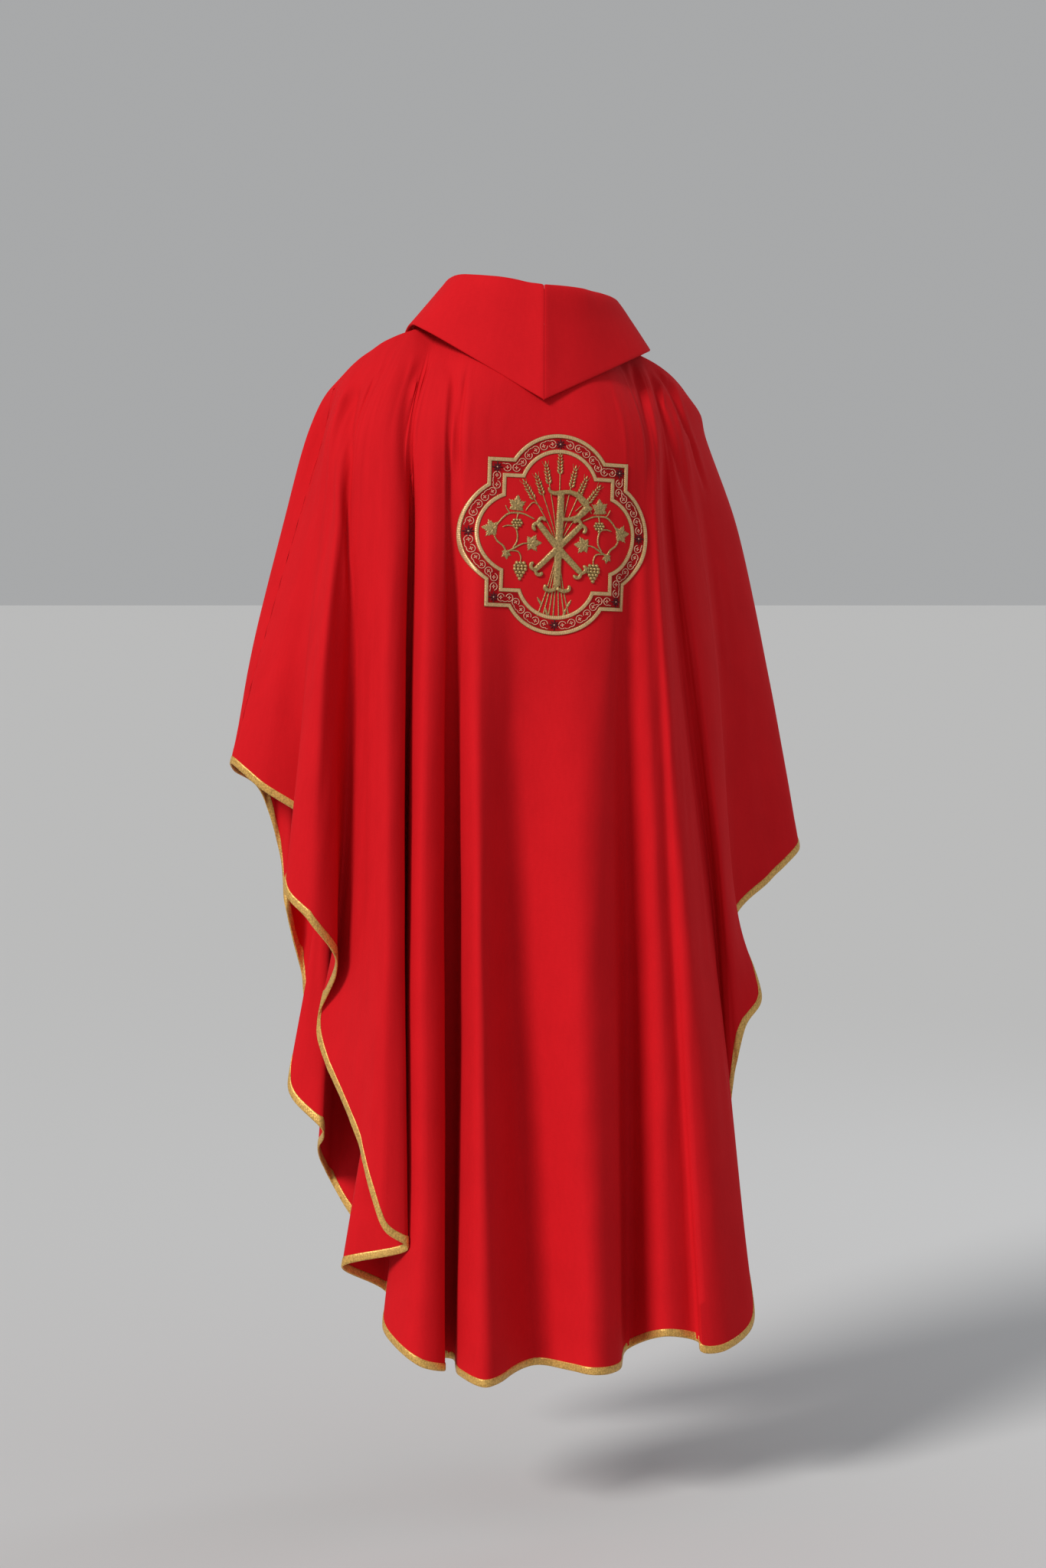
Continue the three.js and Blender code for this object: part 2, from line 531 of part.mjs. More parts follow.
const ON_CLOTH = EMBLEM_LIFT;
const ON_GROUND = ON_CLOTH + GROUND_THICK + STITCH_GAP;
const ON_THREAD = ON_GROUND + THREAD_THICK + STITCH_GAP;
const BEHIND_CLOTH = -CLOTH - STITCH_GAP - BACKING_THICK;

// ---------------------------------------------------------------- the garment
const material = (color, roughness, metalness) => (
  new THREE.MeshStandardMaterial({ color, roughness, metalness }));
const RED = material(0xc8202c, 0.8, 0);
const DARK_RED = material(0x8a1420, 0.85, 0);
const WHITE = material(0xe4ddd0, 0.9, 0);
const GOLD = material(0xc79a45, 0.4, 0.6);
const OLD_GOLD = material(0x9c7b35, 0.5, 0.5);
const ROSE_GOLD = material(0xc9793f, 0.5, 0.3);
const MAROON = material(0x4a0f16, 0.7, 0);

const chasuble = new THREE.Group();
function add(name, geometry, finish) {
  const mesh = new THREE.Mesh(geometry, finish);
  mesh.name = name;
  chasuble.add(mesh);
}

const COLLARS = [['left', COLLAR_LEFT, 1], ['right', COLLAR_RIGHT, -1]];
const underAt = -CLOTH - LAYER_GAP - INTERFACING - LAYER_GAP;
const COLLAR_LAYERS = [
  ['collar', 0, CLOTH, RED],
  ['collar_interfacing', -CLOTH - LAYER_GAP, INTERFACING, WHITE],
  ['undercollar', underAt, CLOTH, RED],
];
const leftCollarTools = COLLAR_LAYERS.map(([, outerAt, thick]) => (
  collarLayer(COLLAR_LEFT, 1, outerAt + SEAM_GAP, thick + 2 * SEAM_GAP)
    .translate(-COLLAR_SEAM_GAP, 0, 0)));

for (const name of ['back', 'front']) {
  add(`${name}_panel`, drapedSheet(PANELS[name], panelRows, 0, -CLOTH), RED);
  add(`hem_braid_${name}`, hemBraid(name), GOLD);
  add(`neck_facing_${name}`, neckFacing(name), DARK_RED);
}

for (const [side, stations, mirror] of COLLARS) {
  for (const [layer, outerAt, thick, finish] of COLLAR_LAYERS) {
    const cloth = collarLayer(stations, mirror, outerAt, thick);
    add(`${layer}_${side}`, side === 'left' ? cloth : cutBy(cloth, leftCollarTools), finish);
  }
}

const bandStart = BORDER_WIDTH + STITCH_GAP;
const bandEnd = bandStart + BAND_WIDTH;
const innerEnd = bandEnd + STITCH_GAP + BORDER_WIDTH;
add('emblem_backing', stitched(quatrefoil(2), BEHIND_CLOTH, BACKING_THICK), WHITE);
add('emblem_ground', stitched(quatrefoil(0.5), ON_CLOTH, GROUND_THICK), RED);
add('emblem_outer_border', stitched(outline(0, BORDER_WIDTH), ON_GROUND, THREAD_THICK), GOLD);
add('emblem_scroll_band', stitched(outline(bandStart, bandEnd), ON_GROUND, THREAD_THICK), ROSE_GOLD);
add('emblem_inner_border',
  stitched(outline(bandEnd + STITCH_GAP, innerEnd), ON_GROUND, THREAD_THICK), GOLD);

const bandMiddle = (bandStart + bandEnd) / 2;
const lobeReach = EMBLEM_SIZE / 2 - bandMiddle;
const cornerReach = EMBLEM_SIZE * 0.3725 - bandMiddle;
const FLOWERS = {
  top: [0, lobeReach], bottom: [0, -lobeReach], left: [-lobeReach, 0], right: [lobeReach, 0],
  upper_left: [-cornerReach, cornerReach], upper_right: [cornerReach, cornerReach],
  lower_left: [-cornerReach, -cornerReach], lower_right: [cornerReach, -cornerReach],
};
for (const [place, [x, y]] of Object.entries(FLOWERS)) {
  add(`flower_${place}`, stitched(starFlower(x, y, 0), ON_THREAD, THREAD_THICK), MAROON);
}

add('wheat_sheaf', stitched(wheatSheaf(), ON_GROUND, THREAD_THICK), OLD_GOLD);
add('chi_rho', stitched(monogram(), ON_THREAD, PAD_THICK), OLD_GOLD);
add('vine_left', stitched(vine(), ON_GROUND, THREAD_THICK), OLD_GOLD);
add('vine_right', stitched(mirrored(vine()), ON_GROUND, THREAD_THICK), OLD_GOLD);
for (const [place, x, y] of [['upper', -53, 19], ['lower', -47, -42]]) {
  const cluster = grapeCluster(x, y);
  add(`grapes_${place}_left`, stitched(cluster, ON_THREAD, THREAD_THICK), OLD_GOLD);
  add(`grapes_${place}_right`, stitched(mirrored(cluster), ON_THREAD, THREAD_THICK), OLD_GOLD);
}

export default chasuble;
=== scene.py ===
import math

import bpy
import numpy as np
from bpy.props import FloatProperty, FloatVectorProperty, IntProperty, PointerProperty
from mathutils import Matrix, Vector
from mathutils.bvhtree import BVHTree


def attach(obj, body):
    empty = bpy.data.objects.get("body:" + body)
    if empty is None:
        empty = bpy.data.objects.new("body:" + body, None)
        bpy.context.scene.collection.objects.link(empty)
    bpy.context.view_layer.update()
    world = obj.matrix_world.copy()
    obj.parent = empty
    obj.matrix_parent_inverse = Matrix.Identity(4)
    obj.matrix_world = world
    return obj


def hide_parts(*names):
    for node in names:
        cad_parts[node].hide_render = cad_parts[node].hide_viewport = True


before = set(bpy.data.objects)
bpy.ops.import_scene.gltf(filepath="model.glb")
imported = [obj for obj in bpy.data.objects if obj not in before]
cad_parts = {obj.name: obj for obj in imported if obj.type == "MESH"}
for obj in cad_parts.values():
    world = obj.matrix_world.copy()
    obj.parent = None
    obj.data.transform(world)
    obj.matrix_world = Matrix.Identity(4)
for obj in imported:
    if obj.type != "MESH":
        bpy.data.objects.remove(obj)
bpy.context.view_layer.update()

bl_info = {
    "name": "Chasuble",
    "version": (1, 0, 0),
    "blender": (4, 5, 0),
    "location": "View3D > Sidebar > Chasuble",
    "description": "Builds a draped chasuble with a cowl collar, a bound hem and a medallion",
    "category": "Object",
}

MM = 0.001
ROOT = "root"

# Width and length each panel is cut from, in metres, and the area of its cut in square metres.
BACK_CUT, BACK_AREA = (1.50, 1.36), 1.28
FRONT_CUT, FRONT_AREA = (1.50, 1.30), 0.98

# ------------------------------------------------------------------ guide lines, in millimetres
# Levels at which a guide line gives its [x, y], from the nape down to the calf.
LEVELS = (-130, -245, -435, -785, -1100)

# name, point at the top, [x, y] at the levels it passes, and its point on the hem
BACK_GUIDES = [
  ["seam_left", [245, 5, -74], [[257, 1], [291, -5], [342, -33]], [369, -60, -555]],
  ["wing_left", [228, 8, -50], [[262, 32], [284, 30], [323, 11]], [337, -22, -586]],
  ["tuck_left", [212, 12, -34], [[260, 56], [274, 56], [293, 42]], [271, 5, -640]],
  ["edge_left", [198, 15, -24], [[250, 70], [265, 78], [294, 84]], [322, 62, -710]],
  ["ridge_left", [184, 17, -14], [[245, 80], [260, 96], [283, 110]], [297, 96, -749]],
  ["flank_left", [170, 18, -7], [[237, 92], [248, 96], [261, 96]], [258, 78, -803]],
  ["hollow_1", [158, 18, -2], [[231, 100], [239, 98], [238, 80], [250, 35]], [272, 15, -896]],
  ["slope_1", [146, 18, 2], [[217, 116], [222, 120], [225, 120], [229, 108]], [239, 95, -1019]],
  ["ridge_1", [134, 18, 6], [[196, 128], [200, 142], [206, 150], [209, 154]], [215, 148, -1133]],
  ["lip_1", [122, 18, 9], [[175, 130], [180, 138], [184, 140], [185, 142]], [181, 142, -1161]],
  ["tuck_1", [114, 20, 11], [[170, 126], [172, 120], [177, 108], [190, 95]], [252, 80, -1193]],
  ["hollow_2", [110, 22, 12], [[167, 128], [166, 120], [165, 100], [164, 66]], [186, 42, -1239]],
  ["edge_2", [106, 25, 13], [[165, 134], [168, 138], [172, 132], [177, 118], [184, 100]],
    [203, 96, -1274]],
  ["ridge_2", [102, 32, 14], [[148, 148], [155, 158], [163, 164], [168, 164], [166, 162]],
    [174, 163, -1306]],
  ["lip_2", [96, 44, 13], [[134, 152], [135, 158], [137, 156], [137, 150]], [136, 152, -1318]],
  ["hollow_3", [88, 57, 12], [[127, 157], [127, 154], [129, 130], [126, 90]], [130, 78, -1319]],
  ["base_3", [80, 67, 12], [[121, 159], [119, 157], [117, 132], [110, 92]], [111, 80, -1320]],
  ["edge_3", [72, 74, 11], [[115, 161], [112, 163], [114, 158], [110, 150]], [117, 150, -1325]],
  ["ridge_3", [55, 85, 10], [[99, 165], [98, 171], [103, 184], [101, 193]], [95, 197, -1331]],
  ["hollow_4", [18, 97, 8], [[49, 167], [51, 175], [48, 166], [44, 142]], [9, 125, -1324]],
  ["ridge_4", [-40, 90, 4], [[-52, 164], [-53, 174], [-43, 180], [-35, 190]], [-50, 190, -1326]],
  ["lip_4", [-66, 76, 1], [[-89, 154], [-84, 164], [-76, 170], [-76, 168]], [-89, 168, -1328]],
  ["hollow_5", [-84, 60, -1], [[-106, 147], [-106, 155], [-100, 146], [-114, 116]], [-124, 92, -1319]],
  ["ridge_5", [-98, 40, -3], [[-127, 134], [-125, 147], [-129, 156], [-143, 155]], [-157, 148, -1292]],
  ["dip_6", [-106, 25, -5], [[-136, 128], [-137, 142], [-148, 148], [-168, 146]], [-205, 140, -1304]],
  ["edge_6", [-118, 20, -9], [[-141, 126], [-144, 140], [-154, 150], [-174, 154]], [-204, 158, -1313]],
  ["ridge_6", [-132, 18, -13], [[-146, 122], [-153, 132], [-164, 142], [-187, 152]], [-239, 150, -1315]],
  ["lip_6", [-148, 16, -19], [[-154, 114], [-162, 116], [-182, 118], [-225, 112]], [-297, 95, -1288]],
  ["hollow_6", [-162, 14, -24], [[-164, 100], [-175, 94], [-199, 86], [-252, 62]], [-276, 45, -1111]],
  ["ridge_7", [-178, 12, -31], [[-175, 92], [-189, 96], [-222, 92], [-269, 78]], [-293, 62, -910]],
  ["lip_7", [-194, 10, -40], [[-192, 80], [-217, 74], [-249, 68], [-291, 52]], [-324, 45, -869]],
  ["hollow_7", [-210, 8, -52], [[-210, 62], [-237, 50], [-265, 38]], [-296, 8, -773]],
  ["wing_right", [-226, 6, -70], [[-231, 38], [-266, 28], [-306, 12]], [-359, -25, -721]],
  ["brow_right", [-238, 2, -92], [[-257, 0], [-304, -12], [-355, -32]], [-411, -55, -683]],
]
FRONT_GUIDES = [
  ["seam_right", [-240, -10, -98], [[-262, -24], [-307, -40], [-357, -60]], [-413, -74, -675]],
  ["front_wing_right", [-222, 4, -66], [[-252, -58], [-292, -84], [-338, -112]], [-380, -128, -700]],
  ["front_tuck_right", [-200, 9, -44], [[-232, -84], [-264, -108], [-300, -130]], [-330, -135, -770]],
  ["front_edge_right", [-176, 12, -30], [[-208, -100], [-236, -122], [-262, -132]], [-300, -100, -840]],
  ["front_hollow_8", [-156, 14, -21], [[-190, -110], [-216, -128], [-234, -132], [-244, -108]],
    [-250, -96, -920]],
  ["front_lip_8", [-146, 16, -18], [[-176, -116], [-202, -132], [-222, -128], [-246, -80]],
    [-278, -66, -1020]],
  ["front_curl_8", [-136, 17, -15], [[-166, -120], [-190, -136], [-206, -126], [-226, -75]],
    [-248, -45, -1070]],
  ["front_return_8", [-128, 18, -12], [[-156, -124], [-180, -140], [-196, -140], [-215, -110]],
    [-240, -85, -1105]],
  ["front_ridge_7", [-118, 20, -9], [[-140, -130], [-162, -150], [-178, -165], [-196, -172]],
    [-214, -160, -1160]],
  ["front_hollow_7", [-108, 22, -6], [[-128, -132], [-146, -152], [-156, -152], [-162, -140]],
    [-176, -128, -1205]],
  ["front_ridge_6", [-102, 2, -3], [[-108, -136], [-120, -162], [-126, -180], [-132, -196]],
    [-136, -206, -1250]],
  ["front_hollow_6", [-90, -32, -9], [[-90, -138], [-94, -162], [-94, -166], [-92, -155]],
    [-92, -142, -1268]],
  ["front_ridge_5", [-68, -62, -18], [[-66, -142], [-66, -168], [-64, -188], [-60, -206]],
    [-56, -214, -1288]],
  ["front_middle", [0, -92, -34], [[0, -142], [0, -165], [0, -172], [0, -170]], [0, -165, -1290]],
  ["front_ridge_4", [68, -62, -14], [[66, -140], [68, -166], [66, -186], [62, -205]],
    [60, -212, -1285]],
  ["front_hollow_4", [90, -32, -2], [[90, -136], [96, -160], [95, -165], [95, -152]],
    [96, -140, -1262]],
  ["front_ridge_3", [102, 2, 8], [[110, -134], [122, -160], [128, -178], [135, -195]],
    [142, -205, -1245]],
  ["front_hollow_3", [108, 22, 12], [[128, -130], [146, -150], [156, -150], [165, -135]],
    [185, -120, -1190]],
  ["front_ridge_2", [118, 19, 10], [[142, -128], [166, -148], [180, -162], [200, -160]],
    [222, -146, -1122]],
  ["front_return_1", [128, 18, 8], [[156, -122], [182, -138], [196, -135], [222, -100]],
    [255, -62, -1065]],
  ["front_curl_1", [138, 18, 5], [[168, -118], [196, -134], [210, -120], [238, -60]],
    [257, -20, -1035]],
  ["front_lip_1", [148, 18, 1], [[180, -114], [208, -130], [226, -126], [258, -66]],
    [293, -62, -985]],
  ["front_slope_1", [154, 18, -1], [[188, -111], [215, -128], [232, -128], [253, -86]],
    [268, -84, -915]],
  ["front_hollow_1", [160, 18, -3], [[195, -108], [222, -124], [236, -128]], [266, -108, -846]],
  ["front_edge_left", [180, 17, -12], [[215, -98], [240, -118], [262, -130]], [290, -95, -752]],
  ["front_tuck_left", [205, 12, -30], [[238, -78], [268, -100], [296, -125]], [290, -125, -690]],
  ["front_wing_left", [225, 7, -48], [[260, -45], [292, -66], [328, -98]], [322, -118, -592]],
  ["front_brow_left", [238, 4, -64], [[274, -14], [303, -30], [345, -60]], [361, -82, -566]],
]


COLLAR_LEFT = [
  [[0, 97, 8], [0, 128, 54], [10, 166, -91]],
  [[55, 85, 11], [57, 105, 64], [86, 128, -41]],
  [[84, 62, 13], [94, 63, 69], [141, 73, 0]],
  [[104, 20, 14], [99, 12, 61], [147, 14, 10]],
  [[90, -32, -1], [88, -45, 46], [134, -64, -24]],
  [[50, -74, -23], [52, -88, 14], [82, -132, -76]],
  [[0, -92, -33], [0, -106, -6], [0, -162, -128]],
]
COLLAR_RIGHT = [
  [[0, 97, 8], [0, 128, 54], [10, 166, -91]],
  [[-55, 84, 4], [-60, 104, 51], [-70, 134, -57]],
  [[-84, 60, 0], [-111, 62, 44], [-155, 70, -22]],
  [[-104, 20, -3], [-120, 12, 38], [-164, 14, -22]],
  [[-90, -32, -8], [-102, -45, 25], [-140, -64, -46]],
  [[-50, -74, -25], [-58, -88, 6], [-82, -132, -88]],
  [[0, -92, -33], [0, -106, -6], [0, -162, -128]],
]

# ------------------------------------------------------------------ sizes and colours


class ClothSizes(bpy.types.PropertyGroup):
    """Sizes of the cloth pieces."""

    thickness: FloatProperty(
        name="Cloth thickness", description="Thickness of the red cloth",
        default=1.2 * MM, min=0.2 * MM, unit="LENGTH")
    ripple: FloatProperty(
        name="Ripple", description="Height of the soft ripples between the folds",
        default=1.3 * MM, min=0.0, unit="LENGTH")
    columns: IntProperty(
        name="Columns", description="Facets across each panel", default=324, min=60)
    rows: IntProperty(
        name="Rows", description="Facets from the shoulder to the hem", default=148, min=30)
    braid_width: FloatProperty(
        name="Braid width", description="Width of the gold braid along the hem",
        default=9.8 * MM, min=4 * MM, unit="LENGTH")
    rim_radius: FloatProperty(
        name="Rim radius", description="Half width of the roll at the collar's rim",
        default=7 * MM, min=1 * MM, unit="LENGTH")


class EmblemSizes(bpy.types.PropertyGroup):
    """Sizes of the medallion, drawn flat before it is laid on the back."""

    width: FloatProperty(
        name="Medallion width", description="From lobe to lobe",
        default=250 * MM, min=50 * MM, unit="LENGTH")
    height_above: FloatProperty(
        name="Centre height", description="Height of the medallion's centre in the frame",
        default=-261.5 * MM, unit="LENGTH")
    aside: FloatProperty(
        name="Centre aside", description="Distance of the medallion's centre from the middle",
        default=-5 * MM, unit="LENGTH")
    tilt: FloatProperty(
        name="Tilt", description="Turn of the medallion from the way the cloth hangs",
        default=math.radians(-2.3), unit="ROTATION")
    border_width: FloatProperty(
        name="Border width", description="Width of each gold outline",
        default=5.2 * MM, min=1 * MM, unit="LENGTH")
    band_width: FloatProperty(
        name="Band width", description="Width of the scroll band between the outlines",
        default=13 * MM, min=3 * MM, unit="LENGTH")
    pad: FloatProperty(
        name="Padding", description="Height of the padded monogram",
        default=3.4 * MM, min=0.5 * MM, unit="LENGTH")


class ThreadColours(bpy.types.PropertyGroup):
    """Colours of the cloth and of the threads."""

    red: FloatVectorProperty(
        name="Red cloth", description="Colour of the cloth", subtype="COLOR", size=3,
        default=(0.60, 0.0075, 0.0125), min=0, max=1)
    facing: FloatVectorProperty(
        name="Facing cloth", description="Colour of the neck facing", subtype="COLOR", size=3,
        default=(0.26, 0.006, 0.012), min=0, max=1)
    canvas: FloatVectorProperty(
        name="Canvas", description="Colour of the stiffener and the backing", subtype="COLOR",
        size=3, default=(0.72, 0.69, 0.62), min=0, max=1)
    braid: FloatVectorProperty(
        name="Braid gold", description="Colour of the hem braid", subtype="COLOR", size=3,
        default=(0.78, 0.45, 0.10), min=0, max=1)
    gold: FloatVectorProperty(
        name="Pale gold", description="Colour of the satin outlines", subtype="COLOR", size=3,
        default=(0.80, 0.50, 0.23), min=0, max=1)
    old_gold: FloatVectorProperty(
        name="Old gold", description="Colour of the padded embroidery", subtype="COLOR", size=3,
        default=(0.50, 0.335, 0.12), min=0, max=1)
    rose_gold: FloatVectorProperty(
        name="Rose gold", description="Colour of the scroll band's thread", subtype="COLOR",
        size=3, default=(0.90, 0.46, 0.30), min=0, max=1)
    maroon: FloatVectorProperty(
        name="Maroon", description="Colour of the star flowers", subtype="COLOR", size=3,
        default=(0.085, 0.003, 0.008), min=0, max=1)


# ------------------------------------------------------------------ the draped surface
def smooth_line(p0, p1, p2, p3, share):
    """Centripetal spline from p1 to p2."""
    steps = [np.maximum(np.linalg.norm(b - a, axis=-1, keepdims=True) ** 0.5, 1e-5)
             for a, b in ((p0, p1), (p1, p2), (p2, p3))]
    before, here, after = steps
    leave = ((p1 - p0) / before - (p2 - p0) / (before + here) + (p2 - p1) / here) * here
    reach = ((p2 - p1) / here - (p3 - p1) / (here + after) + (p3 - p2) / after) * here
    bend = -3 * p1 + 3 * p2 - 2 * leave - reach
    twist = 2 * p1 - 2 * p2 + leave + reach
    return p1 + leave * share + bend * share**2 + twist * share**3


def on_line(points, places):
    """Points of the open smooth line through points, at shares of its knots from 0 to 1."""
    last = len(points) - 1
    at = np.clip(places, 0, 1) * last
    i = np.minimum(at.astype(int), last - 1)
    ends = np.vstack([2 * points[0] - points[1], points, 2 * points[-1] - points[-2]])
    return smooth_line(ends[i], ends[i + 1], ends[i + 2], ends[i + 3], (at - i)[..., None])


def evenly(points, places):
    """The same, with places measured along the line. Also returns its length."""
    knots = np.linspace(0, 1, 201)
    steps = np.linalg.norm(np.diff(on_line(points, knots), axis=0), axis=1)
    run = np.concatenate([[0], np.cumsum(steps)])
    return on_line(points, np.interp(places, run / run[-1], knots)), run[-1]


def guide_line(guide):
    """A guide line's own points, with the arch where the cloth leaves the shoulder."""
    name, top, passes, hem = guide
    side = -1 if name.startswith("front") or name == "seam_right" else 1
    levels = [(x, y, z) for (x, y), z in zip(passes, LEVELS)]
    top = np.array(top, float)
    arch = top + 0.42 * (np.array(levels[0]) - top) + (0, 0.8 * side * ROUND_OVER, ROUND_OVER)
    return np.vstack([top, arch, *levels, hem]) * MM


ROUND_OVER = 9
RING = BACK_GUIDES + FRONT_GUIDES
SEAM_RIGHT = len(BACK_GUIDES)
TABLE_ROWS = 501
_lines = [evenly(guide_line(g), np.linspace(0, 1, TABLE_ROWS)) for g in RING]
GUIDE_TABLE = np.array([points for points, _ in _lines])
GUIDE_LENGTH = np.array([long for _, long in _lines])


def drape(u, v):
    """Points of the garment: u counts guide lines round the ring, v runs from shoulder to hem."""
    u, v = np.broadcast_arrays(u, v)
    i = np.floor(u).astype(int)
    at = np.clip(v, 0, 1) * (TABLE_ROWS - 1)
    row = np.minimum(at.astype(int), TABLE_ROWS - 2)
    part = (at - row)[..., None]
    near = []
    for step in (-1, 0, 1, 2):
        line = (i + step) % len(RING)
        near.append(GUIDE_TABLE[line, row] * (1 - part) + GUIDE_TABLE[line, row + 1] * part)
    return smooth_line(*near, (u - i)[..., None])


def unit(vectors):
    return vectors / np.maximum(np.linalg.norm(vectors, axis=-1, keepdims=True), 1e-12)


def facing(u, v):
    """Outward direction of the cloth."""
    along = drape(u + 0.05, v) - drape(u - 0.05, v)
    down = drape(u, np.minimum(v + 0.006, 1)) - drape(u, np.maximum(v - 0.006, 0))
    return unit(np.cross(down, along))


def guide_length(u):
    i = np.floor(u).astype(int)
    share = u - i
    return (GUIDE_LENGTH[i % len(RING)] * (1 - share)
            + GUIDE_LENGTH[(i + 1) % len(RING)] * share)


def above_hem(u, distance):
    """The v that lies a set distance inside the hem, measured square to the hem."""
    along = unit(drape(u + 0.02, 1.0) - drape(u - 0.02, 1.0))
    down = unit(drape(u, 1.0) - drape(u, 0.98))
    slant = np.maximum(np.linalg.norm(np.cross(along, down), axis=-1), 0.3)
    return 1 - distance / (slant * guide_length(u))


def across(first, last, count):
    """Places from one guide line to another, spread by the width of the cloth between them."""
    fine = np.linspace(first, last, 40 * (last - first) + 1)
    widths = [np.linalg.norm(np.diff(drape(fine, v), axis=0), axis=1) for v in (0.15, 0.5, 0.98)]
    run = np.concatenate([[0], np.cumsum(np.maximum.reduce(widths))])
    share = np.linspace(0, 1, count + 1)
    return np.interp(share * run[-1], run, fine), share * run[-1]


def value_noise(a, b, seed):
    """Smooth random bumps from -1 to 1 on a unit lattice."""
    lattice = np.random.default_rng(seed).uniform(-1, 1, (97, 89))
    i, j = np.floor(a).astype(int), np.floor(b).astype(int)
    x, y = a - i, b - j
    x, y = x**3 * (6 * x * x - 15 * x + 10), y**3 * (6 * y * y - 15 * y + 10)

    def corner(di, dj):
        return lattice[(i + di) % 97, (j + dj) % 89]

    return ((corner(0, 0) * (1 - x) + corner(1, 0) * x) * (1 - y)
            + (corner(0, 1) * (1 - x) + corner(1, 1) * x) * y)


def fade(distance, over):
    """0 at the start, rising smoothly to 1 at the given distance."""
    t = np.clip(distance / over, 0, 1)
    return t * t * (3 - 2 * t)


def ripples(s, t, points, seed, height, emblem):
    """Soft ripples and drag lines of the cloth, as heights along its normal."""
    long_waves = value_noise(s / 0.041, t / 0.33, seed)
    short_waves = value_noise(s / 0.017 + 0.4 * t / 0.1, t / 0.16, seed + 1)
    drags = value_noise(s / 0.026 + t / 0.11, t / 0.21, seed + 2)
    creases = 1 - np.abs(value_noise(s / 0.09 + t / 0.4, t / 0.35, seed + 3)) * 2
    nubs = value_noise(s / 0.008, t / 0.03, seed + 4)
    made = (0.85 * long_waves + 0.32 * short_waves + 0.35 * drags
            + 0.22 * np.maximum(creases, 0) ** 3 + 0.05 * nubs)
    if emblem is not None:
        half = 0.5 * emblem.width
        far = np.hypot(points[..., 0], points[..., 2] - emblem.height_above)
        made = made * (0.25 + 0.75 * fade(far - 0.9 * half, 0.4 * half))
    return height * made


# ------------------------------------------------------------------ mesh helpers
def only(obj):
    """Selects one object and makes it active."""
    bpy.ops.object.select_all(action="DESELECT")
    obj.select_set(True)
    bpy.context.view_layer.objects.active = obj


def apply_modifier(obj, kind, **values):
    only(obj)
    made = obj.modifiers.new(kind.title(), kind)
    for key, value in values.items():
        setattr(made, key, value)
    bpy.ops.object.modifier_apply(modifier=made.name)


def grid_piece(name, points, uv=None):
    """A grid primitive whose points are moved to rows x columns of places."""
    rows, columns = points.shape[:2]
    bpy.ops.object.select_all(action="DESELECT")
    bpy.ops.mesh.primitive_grid_add(x_subdivisions=columns - 1, y_subdivisions=rows - 1, size=1)
    piece = bpy.context.object
    piece.name = piece.data.name = name
    piece.data.vertices.foreach_set("co", points.astype(np.float32).ravel())
    if uv is not None:
        write_uv(piece.data, uv.reshape(-1, 2))
    piece.data.update()
    return piece


def write_uv(mesh, per_vertex):
    layer = mesh.uv_layers[0] if mesh.uv_layers else mesh.uv_layers.new(name="UVMap")
    corner = np.zeros(len(mesh.loops), np.int32)
    mesh.loops.foreach_get("vertex_index", corner)
    layer.data.foreach_set("uv", per_vertex[corner].astype(np.float32).ravel())


def weld(obj, distance=1e-5, fill=True):
    """Merges doubles, closes open ends and turns the faces outwards."""
    only(obj)
    bpy.ops.object.mode_set(mode="EDIT")
    bpy.ops.mesh.select_all(action="SELECT")
    bpy.ops.mesh.remove_doubles(threshold=distance)
    if fill:
        bpy.ops.mesh.fill_holes(sides=0)
    bpy.ops.mesh.select_all(action="SELECT")
    bpy.ops.mesh.normals_make_consistent(inside=False)
    bpy.ops.object.mode_set(mode="OBJECT")


def finish_piece(obj, material, replaces=(), angle=60):
    """Shades a finished piece and ties it to the frame."""
    only(obj)
    bpy.ops.object.shade_smooth_by_angle(angle=math.radians(angle))
    obj.data.materials.clear()
    obj.data.materials.append(material)
    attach(obj, ROOT)
    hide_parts(*replaces)
    return obj


def gathered(name, parts, uvs=None):
    """One piece from many small ones, each given as points and faces."""
    points, faces, start = [], [], 0
    for part_points, part_faces in parts:
        points.append(part_points)
        faces.extend(tuple(i + start for i in face) for face in part_faces)
        start += len(part_points)
    mesh = bpy.data.meshes.new(name)
    mesh.from_pydata(np.vstack(points).tolist(), [], faces)
    piece = bpy.data.objects.new(name, mesh)
    bpy.context.scene.collection.objects.link(piece)
    if uvs is not None:
        write_uv(mesh, np.vstack(uvs))
    return piece


# ------------------------------------------------------------------ finishes
def node(tree, kind, place=(0, 0), **values):
    made = tree.nodes.new(kind)
    made.location = place
    for key, value in values.items():
        setattr(made, key, value)
    return made


def join(tree, start, end):
    tree.links.new(start, end)


def maths(tree, operation, first, second=None):
    made = node(tree, "ShaderNodeMath", operation=operation)
    for socket, value in zip(made.inputs, (first, second)):
        if isinstance(value, (int, float)):
            socket.default_value = value
        elif value is not None:
            join(tree, value, socket)
    return made.outputs[0]


def mapped(tree, source, scale, turn=0.0):
    made = node(tree, "ShaderNodeMapping")
    made.inputs["Scale"].default_value = scale
    made.inputs["Rotation"].default_value = (0, 0, turn)
    join(tree, source, made.inputs["Vector"])
    return made.outputs["Vector"]


def noise(tree, source, scale, detail=2.0, rough=0.5, distortion=0.0):
    made = node(tree, "ShaderNodeTexNoise")
    made.inputs["Scale"].default_value = scale
    made.inputs["Detail"].default_value = detail
    made.inputs["Roughness"].default_value = rough
    made.inputs["Distortion"].default_value = distortion
    join(tree, source, made.inputs["Vector"])
    return made.outputs["Fac"]


